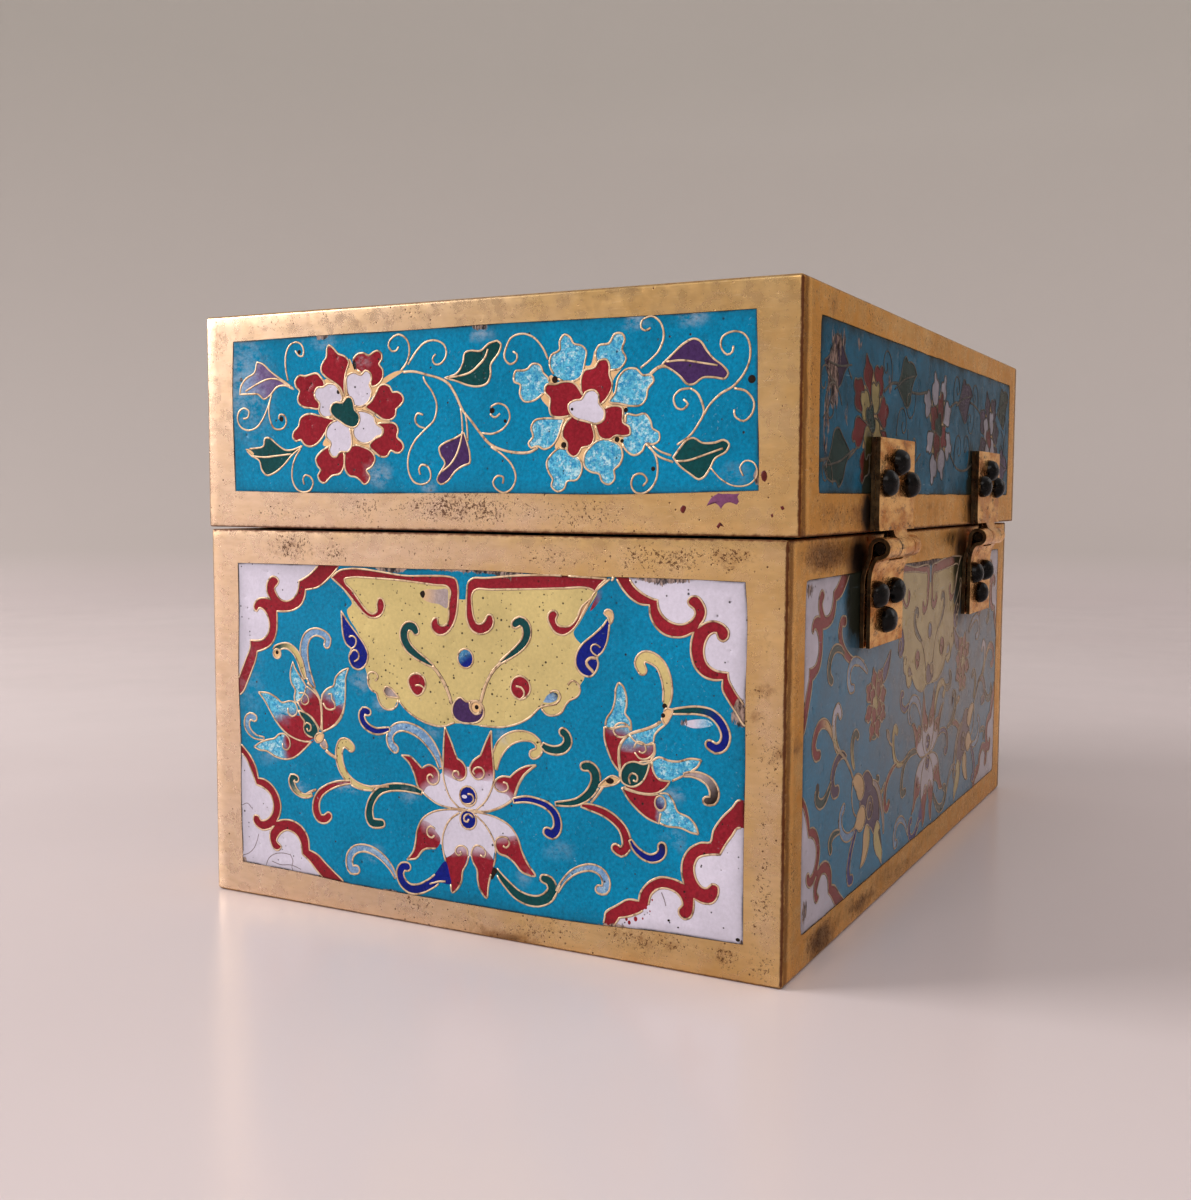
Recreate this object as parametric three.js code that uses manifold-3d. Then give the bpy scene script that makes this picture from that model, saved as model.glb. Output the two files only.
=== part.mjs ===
// A cloisonne enamel box with a hinged lid, in millimetres, +Z up.
//
// The body is an open brass case and the lid a brass cap. Each outer face is a brass border round a
// shallow field filled with an enamel plate, flush with the brass, and the inside is coated with plain
// enamel. Two strap hinges join the lid to the back of the body. A leaf is one strip of sheet brass,
// doubled round the pin, and three dome-headed rivets hold it through the wall.
//
// Frame: the origin is the centre of the underside. +X runs along the length, towards the end that is
// nearer its hinge, -Y faces the front, where the lid opens, and +Y the back, where the hinges are.
import * as THREE from "three";
import { mergeVertices } from "three/addons/utils/BufferGeometryUtils.js";
import Module from "manifold-3d";

const wasm = await Module();
wasm.setup();

// Driving dimensions.
const length = 131;
const depth = 90;
const bodyHeight = 54.4;
const partingGap = 0.3;
const totalHeight = 85.4;
const lidOverhangFront = 0.4;
const lidOverhangBack = 1.4;

const brassWall = 2;
const enamelThickness = 0.8;
const liningThickness = 0.4;
const edgeBevel = 0.7;
const cornerRadius = 0.4;
const fitGap = 0.1;
const coatGap = 0.02;

// Widths of the brass borders round the fields.
const endBorder = 5.2;
const longBorder = 6.5;
const bodyBottomBorder = 4.6;
const bodyTopBorder = 5;
const lidBottomBorder = 5.1;
const lidTopBorder = 3.9;
const flatBorder = 6;

// Hinges.
const hingeCentres = { near: 27.6, far: -35 };
const sheet = 0.6;
const layerGap = 0.3;
const tightGap = 0.04;
const pinOut = 2.55;
const pinBelowRim = 1.95;
const pinRadius = 0.8;
const eyeRadius = 1.25;
const upperWidth = 18.2;
const lowerWidth = 16.8;
const upperTop = 67.6;
const lowerBottom = 38.7;
const knuckleGap = 0.25;
const middleKnuckle = [-5.2, 2.3];
const pinRecess = 0.5;

// Rivets: places on a leaf as [along X from the hinge's centre, height].
const upperRivets = [[-0.1, 64.3], [5.7, 61.4], [-6.1, 61.3]];
const lowerRivets = [[5.4, 46], [-3.2, 46.1], [0.9, 42.2]];
const headRadius = 2;
const headHeight = 1.75;
const shankRadius = 0.9;
const shankGap = 0.3;
const buttonRadius = 1.5;
const buttonHeight = 0.4;
const roundSegments = 16;

// Derived places.
const halfLength = length / 2;
const front = -depth / 2;
const back = depth / 2;
const lidFront = front - lidOverhangFront;
const lidBack = back + lidOverhangBack;
const lidFloor = bodyHeight + partingGap;
const pin = new THREE.Vector2(back + pinOut, bodyHeight - pinBelowRim);

const materials = {
  brass: new THREE.MeshStandardMaterial({ color: 0xb08d4c, roughness: 0.42, metalness: 1 }),
  hinge: new THREE.MeshStandardMaterial({ color: 0xb78b45, roughness: 0.36, metalness: 1 }),
  bronze: new THREE.MeshStandardMaterial({ color: 0x241a14, roughness: 0.4, metalness: 0.8 }),
  enamel: new THREE.MeshStandardMaterial({ color: 0x0f86b4, roughness: 0.25, metalness: 0 }),
  lining: new THREE.MeshStandardMaterial({ color: 0x2f8fa6, roughness: 0.3, metalness: 0 }),
};

// A box from the ranges that it fills.
function block([x0, x1], [y0, y1], [z0, z1]) {
  const geometry = new THREE.BoxGeometry(x1 - x0, y1 - y0, z1 - z0);
  return geometry.translate((x0 + x1) / 2, (y0 + y1) / 2, (z0 + z1) / 2);
}

// The same box with its edges rounded over.
function roundedBlock([x0, x1], [y0, y1], [z0, z1]) {
  const [left, right] = [x0 + edgeBevel, x1 - edgeBevel];
  const [near, far] = [y0 + edgeBevel, y1 - edgeBevel];
  const shape = new THREE.Shape();
  shape.moveTo(left + cornerRadius, near);
  shape.lineTo(right - cornerRadius, near);
  shape.absarc(right - cornerRadius, near + cornerRadius, cornerRadius, -Math.PI / 2, 0);
  shape.absarc(right - cornerRadius, far - cornerRadius, cornerRadius, 0, Math.PI / 2);
  shape.absarc(left + cornerRadius, far - cornerRadius, cornerRadius, Math.PI / 2, Math.PI);
  shape.absarc(left + cornerRadius, near + cornerRadius, cornerRadius, Math.PI, 1.5 * Math.PI);
  const geometry = new THREE.ExtrudeGeometry(shape, {
    depth: z1 - z0 - 2 * edgeBevel,
    bevelSize: edgeBevel,
    bevelThickness: edgeBevel,
    bevelSegments: 3,
    curveSegments: 3,
  });
  return geometry.translate(0, 0, z0 + edgeBevel);
}

// A three.js geometry as a manifold-3d solid.
function solid(geometry) {
  const bare = geometry.clone();
  bare.deleteAttribute("normal");
  bare.deleteAttribute("uv");
  const merged = mergeVertices(bare, 1e-4);
  return new wasm.Manifold(
    new wasm.Mesh({
      numProp: 3,
      vertProperties: merged.attributes.position.array,
      triVerts: new Uint32Array(merged.index.array),
    }),
  );
}

// A solid with others cut from it, as a three.js geometry.
function cut(base, tools) {
  const made = tools.reduce((left, tool) => left.subtract(solid(tool)), solid(base)).getMesh();
  const geometry = new THREE.BufferGeometry();
  geometry.setAttribute("position", new THREE.BufferAttribute(made.vertProperties, 3));
  geometry.setIndex(new THREE.BufferAttribute(made.triVerts, 1));
  geometry.computeVertexNormals();
  return geometry;
}

function mesh(name, geometry, material) {
  const made = new THREE.Mesh(geometry, material);
  made.name = name;
  return made;
}

// The places of the three rivets of every hinge, as [x, z].
function rivetPlaces(offsets) {
  return Object.values(hingeCentres).flatMap((centre) => offsets.map(([x, z]) => [centre + x, z]));
}

// Holes for those rivets, along Y through the back wall and the leaf.
function rivetHoles(offsets) {
  return rivetPlaces(offsets).map(([x, z]) => {
    const radius = shankRadius + shankGap;
    const hole = new THREE.CylinderGeometry(radius, radius, 4 * brassWall, roundSegments);
    return hole.translate(x, back, z);
  });
}

// The ranges of one half of the box: its outside, its hollow and its field on each face.
function caseRanges(y, z, zHollow, zField) {
  const x = [-halfLength, halfLength];
  const xLong = [x[0] + longBorder, x[1] - longBorder];
  const yEnd = [y[0] + endBorder, y[1] - endBorder];
  return {
    outside: [x, y, z],
    hollow: [[x[0] + brassWall, x[1] - brassWall], [y[0] + brassWall, y[1] - brassWall], zHollow],
    fields: {
      front: [xLong, [y[0], y[0] + enamelThickness], zField],
      back: [xLong, [y[1] - enamelThickness, y[1]], zField],
      left: [[x[0], x[0] + enamelThickness], yEnd, zField],
      right: [[x[1] - enamelThickness, x[1]], yEnd, zField],
    },
  };
}

const body = caseRanges(
  [front, back],
  [0, bodyHeight],
  [brassWall, bodyHeight],
  [bodyBottomBorder, bodyHeight - bodyTopBorder],
);
body.fields.base = [
  [-halfLength + flatBorder, halfLength - flatBorder],
  [front + flatBorder, back - flatBorder],
  [0, enamelThickness],
];

const lid = caseRanges(
  [lidFront, lidBack],
  [lidFloor, totalHeight],
  [lidFloor, totalHeight - brassWall],
  [lidFloor + lidBottomBorder, totalHeight - lidTopBorder],
);
lid.fields.top = [
  [-halfLength + flatBorder, halfLength - flatBorder],
  [lidFront + flatBorder, lidBack - flatBorder],
  [totalHeight - enamelThickness, totalHeight],
];

// A brass half with a flat rim at its open side, which openUp tells.
function caseShell(name, half, openUp, rivetOffsets) {
  const [x, y, z] = half.outside;
  const [hollowX, hollowY, hollowZ] = half.hollow;
  const past = 2;
  const solidZ = openUp ? [z[0], z[1] + past] : [z[0] - past, z[1]];
  const open = openUp ? [hollowZ[0], solidZ[1] + 1] : [solidZ[0] - 1, hollowZ[1]];
  const trim = openUp ? [z[1], solidZ[1] + 1] : [solidZ[0] - 1, z[0]];
  const grown = ([low, high], start, end) => [low === start ? low - 1 : low, high === end ? high + 1 : high];
  const recesses = Object.values(half.fields).map(([fx, fy, fz]) =>
    block(grown(fx, ...x), grown(fy, ...y), grown(fz, ...z)),
  );
  const tools = [
    block([x[0] - 1, x[1] + 1], [y[0] - 1, y[1] + 1], trim),
    block(hollowX, hollowY, open),
    ...recesses,
    ...rivetHoles(rivetOffsets),
  ];
  return mesh(name, cut(roundedBlock(x, y, solidZ), tools), materials.brass);
}

// The plain enamel coat on the inside of a half, kept back from the rim.
function caseLining(name, half, openUp, rivetOffsets) {
  const rimMargin = 0.5;
  const [x, y, z] = half.hollow;
  const within = ([low, high], by) => [low + by, high - by];
  const outZ = openUp ? [z[0] + coatGap, z[1] - rimMargin] : [z[0] + rimMargin, z[1] - coatGap];
  const inZ = openUp ? [outZ[0] + liningThickness, outZ[1] + 1] : [outZ[0] - 1, outZ[1] - liningThickness];
  const inset = coatGap + liningThickness;
  const hollow = block(within(x, inset), within(y, inset), inZ);
  const coat = block(within(x, coatGap), within(y, coatGap), outZ);
  return mesh(name, cut(coat, [hollow, ...rivetHoles(rivetOffsets)]), materials.lining);
}

// The enamel plates of a half, each clear of its recess by the fit gap at its edges.
function enamelPlates(prefix, half, rivetOffsets) {
  return Object.entries(half.fields).map(([face, ranges]) => {
    const thin = ranges.findIndex(([low, high]) => Math.abs(high - low - enamelThickness) < 1e-6);
    const outwards = ["back", "right", "top"].includes(face);
    const [x, y, z] = ranges.map(([low, high], axis) => {
      if (axis !== thin) return [low + fitGap, high - fitGap];
      return outwards ? [low + coatGap, high] : [low, high - coatGap];
    });
    const holes = face === "back" ? rivetHoles(rivetOffsets) : [];
    return mesh(`${prefix}_${face}`, cut(block(x, y, z), holes), materials.enamel);
  });
}

// A point on the circle round the pin, at an angle in degrees and a radius.
function roundPin(angle, radius) {
  const turn = THREE.MathUtils.degToRad(angle);
  return new THREE.Vector2(pin.x + radius * Math.cos(turn), pin.y + radius * Math.sin(turn));
}

// The centre line of a leaf's strip in the Y-Z plane: along the wall, round the pin, and back along
// the outside. Each layer is straight from the far end to its own height.
function stripPath(far, wall, outer, leaveAngle, leaveReach) {
  const upwards = Math.sign(wall.straightEnd - far);
  const eyeStart = roundPin(180, eyeRadius);
  const leave = roundPin(leaveAngle, eyeRadius);
  const heading = THREE.MathUtils.degToRad(leaveAngle - upwards * 90);
  const away = new THREE.Vector2(Math.cos(heading), Math.sin(heading));
  const sweepEnd = upwards > 0 ? leaveAngle - 360 : leaveAngle;
  const middle = (wall.straightEnd + pin.y) / 2;
  const path = new THREE.CurvePath();
  const at = (y, z) => new THREE.Vector2(y, z);
  path.add(new THREE.LineCurve(at(wall.y, far), at(wall.y, wall.straightEnd)));
  path.add(
    new THREE.CubicBezierCurve(
      at(wall.y, wall.straightEnd),
      at(wall.y, middle),
      at(eyeStart.x, middle),
      eyeStart,
    ),
  );
  path.add(
    new THREE.EllipseCurve(
      pin.x,
      pin.y,
      eyeRadius,
      eyeRadius,
      (upwards > 0 ? 180 : -180) * (Math.PI / 180),
      sweepEnd * (Math.PI / 180),
      upwards > 0,
    ),
  );
  path.add(
    new THREE.CubicBezierCurve(
      leave,
      leave.clone().addScaledVector(away, leaveReach),
      at(outer.y, (outer.straightEnd + leave.y) / 2),
      at(outer.y, outer.straightEnd),
    ),
  );
  path.add(new THREE.LineCurve(at(outer.y, outer.straightEnd), at(outer.y, far)));
  return path;
}

// A closed outline of sheet thickness along a path of curves.
function stripOutline(path) {
  const points = path.curves.flatMap((curve) => {
    const steps = curve.isLineCurve ? 1 : curve.isEllipseCurve ? 20 : 6;
    return curve.getPoints(steps).slice(0, -1);
  });
  points.push(path.curves.at(-1).getPoint(1));
  const sides = [1, -1].map((side) =>
    points.map((point, i) => {
      const before = points[Math.max(i - 1, 0)];
      const after = points[Math.min(i + 1, points.length - 1)];
      const along = after.clone().sub(before).normalize();
      return new THREE.Vector2(
        point.x - (side * along.y * sheet) / 2,
        point.y + (side * along.x * sheet) / 2,
      );
    }),
  );
  return new THREE.Shape([...sides[0], ...sides[1].reverse()]);
}

// An outline in the Y-Z plane, extruded along X over a range.
function alongX(shape, [x0, x1]) {
  const geometry = new THREE.ExtrudeGeometry(shape, { depth: x1 - x0, bevelEnabled: false });
  const turn = new THREE.Matrix4().makeBasis(
    new THREE.Vector3(0, 1, 0),
    new THREE.Vector3(0, 0, 1),
    new THREE.Vector3(1, 0, 0),
  );
  return geometry.applyMatrix4(turn).translate(x0, 0, 0);
}

// The leaf on the body: its two eyes hold the pin's ends, with a notch for the lid's eye between them.
function lowerLeaf(side, centre) {
  const straightEnd = 47.6;
  const wall = { y: back + sheet / 2, straightEnd };
  const outer = { y: wall.y + sheet + layerGap, straightEnd };
  const path = stripPath(lowerBottom, wall, outer, 270, 0.8);
  const width = [centre - lowerWidth / 2, centre + lowerWidth / 2];
  const notchFloor = pin.y - eyeRadius - sheet;
  const notch = block(
    [centre + middleKnuckle[0], centre + middleKnuckle[1]],
    [back - 1, back + 3 * pinOut],
    [notchFloor, bodyHeight + 1],
  );
  const leaf = cut(alongX(stripOutline(path), width), [notch, ...rivetHoles(lowerRivets)]);
  return mesh(`hinge_leaf_lower_${side}`, leaf, materials.hinge);
}

// The leaf on the lid: full width above the parting line, and one eye in the middle below it.
function upperLeaf(side, centre) {
  const wall = { y: lidBack + sheet / 2, straightEnd: lidFloor };
  const outer = { y: wall.y + sheet + tightGap, straightEnd: lidFloor + 1.8 };
  const path = stripPath(upperTop, wall, outer, 60, 0.8);
  const width = [centre - upperWidth / 2, centre + upperWidth / 2];
  const shoulder = lidFloor + 0.2;
  const cuts = [
    [width[0] - 1, centre + middleKnuckle[0] + knuckleGap],
    [centre + middleKnuckle[1] - knuckleGap, width[1] + 1],
  ].map((range) => block(range, [back - 1, back + 3 * pinOut], [pin.y - 3, shoulder]));
  const leaf = cut(alongX(stripOutline(path), width), [...cuts, ...rivetHoles(upperRivets)]);
  return mesh(`hinge_leaf_upper_${side}`, leaf, materials.hinge);
}

// The pin, a little shorter than the leaf, so that each end sits back in its eye.
function hingePin(side, centre) {
  const reach = lowerWidth - 2 * pinRecess;
  const rod = new THREE.CylinderGeometry(pinRadius, pinRadius, reach, roundSegments);
  rod.rotateZ(Math.PI / 2).translate(centre, pin.x, pin.y);
  return mesh(`hinge_pin_${side}`, rod, materials.bronze);
}

// A rivet along Y: a domed head on the leaf, a shank through the wall and a low button inside.
function rivet(name, x, z, wallOutside, leafThickness) {
  const seat = wallOutside + leafThickness + coatGap;
  const inside = wallOutside - brassWall - liningThickness - 2 * coatGap;
  const dome = (headRadius ** 2 + headHeight ** 2) / (2 * headHeight);
  const halfAngle = Math.asin(headRadius / dome);
  const profile = [
    new THREE.Vector2(0, inside - buttonHeight),
    new THREE.Vector2(buttonRadius * 0.6, inside - buttonHeight),
    new THREE.Vector2(buttonRadius, inside - buttonHeight / 3),
    new THREE.Vector2(buttonRadius, inside),
    new THREE.Vector2(shankRadius, inside),
    new THREE.Vector2(shankRadius, seat),
  ];
  const steps = 5;
  for (let i = 0; i <= steps; i += 1) {
    const angle = halfAngle * (1 - i / steps);
    const radius = i === steps ? 0 : dome * Math.sin(angle);
    profile.push(new THREE.Vector2(radius, seat + headHeight - dome * (1 - Math.cos(angle))));
  }
  const turned = new THREE.LatheGeometry(profile, roundSegments).translate(x, 0, z);
  return mesh(name, turned, materials.bronze);
}

function rivets(group, prefix, offsets, wallOutside, leafThickness) {
  for (const [side, centre] of Object.entries(hingeCentres)) {
    offsets.forEach(([x, z], i) => {
      group.add(rivet(`${prefix}_${side}_${i + 1}`, centre + x, z, wallOutside, leafThickness));
    });
  }
}

const bodyGroup = new THREE.Group();
bodyGroup.add(caseShell("body_shell", body, true, lowerRivets));
bodyGroup.add(caseLining("body_lining", body, true, lowerRivets));
bodyGroup.add(...enamelPlates("body_enamel", body, lowerRivets));
rivets(bodyGroup, "rivet_lower", lowerRivets, back, 2 * sheet + layerGap);

const lidGroup = new THREE.Group();
lidGroup.add(caseShell("lid_shell", lid, false, upperRivets));
lidGroup.add(caseLining("lid_lining", lid, false, upperRivets));
lidGroup.add(...enamelPlates("lid_enamel", lid, upperRivets));
rivets(lidGroup, "rivet_upper", upperRivets, lidBack, 2 * sheet + tightGap);

for (const [side, centre] of Object.entries(hingeCentres)) {
  bodyGroup.add(lowerLeaf(side, centre), hingePin(side, centre));
  lidGroup.add(upperLeaf(side, centre));
}

const box = new THREE.Group();
box.add(bodyGroup, lidGroup);
export default box;
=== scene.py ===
import math
import random

import bmesh
import bpy
import numpy as np
from mathutils import Matrix, Vector, noise
from mathutils.geometry import delaunay_2d_cdt


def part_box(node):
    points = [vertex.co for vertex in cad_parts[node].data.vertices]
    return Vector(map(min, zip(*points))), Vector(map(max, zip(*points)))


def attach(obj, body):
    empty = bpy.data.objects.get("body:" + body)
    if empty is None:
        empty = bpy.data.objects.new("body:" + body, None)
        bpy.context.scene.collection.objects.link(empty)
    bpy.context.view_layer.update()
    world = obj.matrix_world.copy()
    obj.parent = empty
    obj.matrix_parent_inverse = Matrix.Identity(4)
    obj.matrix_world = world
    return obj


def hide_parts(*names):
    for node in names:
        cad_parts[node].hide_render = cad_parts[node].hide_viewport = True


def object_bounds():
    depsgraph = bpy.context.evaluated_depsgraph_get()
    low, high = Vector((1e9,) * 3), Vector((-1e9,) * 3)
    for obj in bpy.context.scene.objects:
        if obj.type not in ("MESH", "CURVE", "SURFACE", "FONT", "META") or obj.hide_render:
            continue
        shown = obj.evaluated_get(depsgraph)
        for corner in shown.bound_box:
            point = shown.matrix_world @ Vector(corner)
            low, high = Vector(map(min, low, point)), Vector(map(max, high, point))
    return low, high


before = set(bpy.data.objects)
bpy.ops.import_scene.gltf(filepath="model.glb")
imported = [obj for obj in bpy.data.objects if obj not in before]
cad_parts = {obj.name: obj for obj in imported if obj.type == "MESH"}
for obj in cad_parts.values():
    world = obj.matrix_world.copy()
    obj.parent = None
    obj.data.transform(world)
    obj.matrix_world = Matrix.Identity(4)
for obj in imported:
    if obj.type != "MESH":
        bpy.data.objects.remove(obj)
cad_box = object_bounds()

MM = 0.001
random.seed(7)

# The brass cases: rounded edges, walls, the recess for each field, and how uneven the surface is.
CASE_RADIUS = 0.6
LEAST_RADIUS = 0.03
EDGE_RADIUS = 0.5
RIM_RADIUS = 0.25
ROUND_STEPS = 4
RIM_STEPS = 3
CASE_WALL = 2
WALL_GAP = 0.03
LIP = 0.15
RECESS = 0.8
CASE_SINK = 0.06
CASE_WAVE = 0.035
CASE_WAVE_SIZE = 17
CASE_GRID = 1.5

# The enamel: how it lies in its recess, its seam to the brass, and its pits.
FIELD_SINK = 0.02
FIELD_WAVE = 0.02
FIELD_GRID = 1.1
PLATE_DEPTH = 0.7
SEAM = 0.05
SEAM_BAND = 0.3
SEAM_DROP = 0.04
LONG_SLIP = 0.14
SHORT_SLIP = 0.05
CORNER_PULL = 0.35
CLEARANCE = 0.4
PIT_RADIUS = 0.07
PIT_SPREAD = 0.2
PIT_DEPTH = 0.6
PIT_CORNERS = 6
PIT_SPACING = 4.5
BLOT_RISE = 0.025

# The wires: how far they stand out, and the widths of their top and foot as shares of the drawn width.
WIRE_RISE = 0.05
WIRE_ROOT = 0.04
WIRE_CROWN = 0.58
WIRE_FOOT = 1.4
WIDTH_CHANGE = 0.2
RISE_CHANGE = 0.4
ROOM_EDGE = 0.02

# The hinges.
SHEET_ROUNDING = 0.07
RIVET_HEAD = 1.75
RIVET_BUTTON = 0.4
BUTTON_FACE = 0.9
BUTTON_RADIUS = 1.425
BUTTON_BEVEL = 0.25
DOME_SHAPE = 0.85
RIVET_SHANK = 0.85
RIVET_DENTS = 0.08
RIVET_STEPS = 9
RIVET_SPOKES = 28

# Meshes: vertices nearer than this are merged, and edges sharper than this are drawn sharp.
MERGE = 0.002
CASE_MERGE = 0.004
TINY = 1e-6
SHARP = math.radians(35)
GLASS_SHARP = math.radians(50)

# Wear: how much there is where nothing special is marked; and painted shade along the case's edges, how dark
# and how far it reaches from an edge.
# The upright edges at the back of the box are painted darker than those at its front.
PITTED = 0.1
BROWNED = 0.04
BACK_EDGE_SHADE = 1.0
FRONT_EDGE_SHADE = 0.85
LEVEL_EDGE_SHADE = 0.8
SEAM_PALEST = 0.1
SEAM_DARKEST = 0.9
PIT_DARK = 0.95
EDGE_SHADE_REACH = 1.0
RIM_GRIME = 0.35
RIM_GRIME_REACH = 1.2


# ---- Colours ----

def linear(red, green, blue):
    """A colour as it is seen on a screen, 0 to 255, as the renderer's own numbers."""
    return tuple(
        (v / 12.92 if v < 0.04045 else ((v + 0.055) / 1.055) ** 2.4)
        for v in (red / 255, green / 255, blue / 255)
    ) + (1,)


ENAMEL = {
    "turquoise": linear(0, 124, 166),
    "red": linear(138, 28, 42),
    "white": linear(208, 203, 220),
    "yellow": linear(202, 183, 124),
    "green": linear(8, 66, 68),
    "navy": linear(10, 26, 122),
    "purple": linear(66, 42, 88),
    "sky": linear(92, 182, 212),
    "lilac": linear(126, 158, 196),
    "violet": linear(104, 84, 132),
    "grey": linear(165, 150, 150),
    "gold": linear(225, 185, 135),
    "black": linear(35, 25, 20),
    "crack": linear(134, 122, 130),
    "maroon": linear(92, 34, 34),
    "mauve": linear(118, 70, 104),
}
SPECKLED = {"sky": 1, "lilac": 0.55}
DOTTED = {"yellow": 1, "white": 0.15, "red": 0.3}

# ---- Materials ----

# The floor is painted dark around this place, below the window lamp: painted shade.
WINDOW_SHADE_SPOT = (0.16, -0.76, 0.05)
TARNISH_AND_SHADE = (1.0, 0.74, 0.4, 1.0)
GRAZING_TINT = (1.0, 0.84, 0.64, 1.0)


class Graph:
    """A material built by calls that take sockets or plain values and give a socket back."""

    def __init__(self, name):
        self.material = bpy.data.materials.new(name)
        self.material.use_nodes = True
        self.tree = self.material.node_tree
        self.shader = self.tree.nodes["Principled BSDF"]
        self.here = self.node("ShaderNodeTexCoord").outputs["Object"]

    def node(self, kind, **settings):
        made = self.tree.nodes.new(kind)
        for key, value in settings.items():
            setattr(made, key, value)
        return made

    def put(self, socket, value):
        if isinstance(value, bpy.types.NodeSocket):
            self.tree.links.new(value, socket)
        else:
            socket.default_value = value

    def finish(self, **values):
        """Sets the shader's sockets."""
        for key, value in values.items():
            self.put(self.shader.inputs[key.replace("_", " ")], value)
        return self.material

    def attribute(self, name, output="Fac"):
        return self.node("ShaderNodeAttribute", attribute_name=name).outputs[output]

    def at_size(self, size, stretch=(1, 1, 1)):
        """Places counted in steps of this many millimetres, longer along an axis that is stretched."""
        scaled = self.node("ShaderNodeMapping")
        self.put(scaled.inputs["Vector"], self.here)
        self.put(scaled.inputs["Scale"], tuple(1 / (size * MM * s) for s in stretch))
        return scaled.outputs["Vector"]

    def noise(self, size, detail=2.0, roughness=0.5, stretch=(1, 1, 1), twist=0.0):
        made = self.node("ShaderNodeTexNoise")
        self.put(made.inputs["Vector"], self.at_size(size, stretch))
        self.put(made.inputs["Scale"], 1.0)
        self.put(made.inputs["Detail"], detail)
        self.put(made.inputs["Roughness"], roughness)
        self.put(made.inputs["Distortion"], twist)
        return made.outputs["Fac"]

    def cells(self, size, output="Distance", feature="F1", stretch=(1, 1, 1)):
        made = self.node("ShaderNodeTexVoronoi", feature=feature)
        self.put(made.inputs["Vector"], self.at_size(size, stretch))
        self.put(made.inputs["Scale"], 1.0)
        return made.outputs[output]

    def ramp(self, value, start, end, low=0.0, high=1.0):
        """low where the value is at start, high where it is at end, and no further."""
        made = self.node("ShaderNodeMapRange")
        for key, number in zip(
            ("Value", "From Min", "From Max", "To Min", "To Max"),
            (value, start, end, low, high),
        ):
            self.put(made.inputs[key], number)
        return made.outputs["Result"]

    def math(self, operation, *values):
        made = self.node("ShaderNodeMath", operation=operation)
        for socket, value in zip(made.inputs, values):
            self.put(socket, value)
        return made.outputs[0]

    def times(self, *values):
        made = values[0]
        for value in values[1:]:
            made = self.math("MULTIPLY", made, value)
        return made

    def mix(self, share, first, second, blend="MIX"):
        made = self.node("ShaderNodeMix", data_type="RGBA", blend_type=blend)
        self.put(made.inputs[0], share)
        self.put(made.inputs[6], first)
        self.put(made.inputs[7], second)
        return made.outputs[2]

    def as_grey(self, value):
        made = self.node("ShaderNodeCombineColor")
        for socket in made.inputs:
            self.put(socket, value)
        return made.outputs[0]

    def bump(self, height, distance, strength=1.0, under=None):
        """Fine relief this many millimetres high."""
        made = self.node("ShaderNodeBump")
        self.put(made.inputs["Height"], height)
        self.put(made.inputs["Distance"], distance * MM)
        self.put(made.inputs["Strength"], strength)
        if under:
            self.put(made.inputs["Normal"], under)
        return made.outputs["Normal"]


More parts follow.
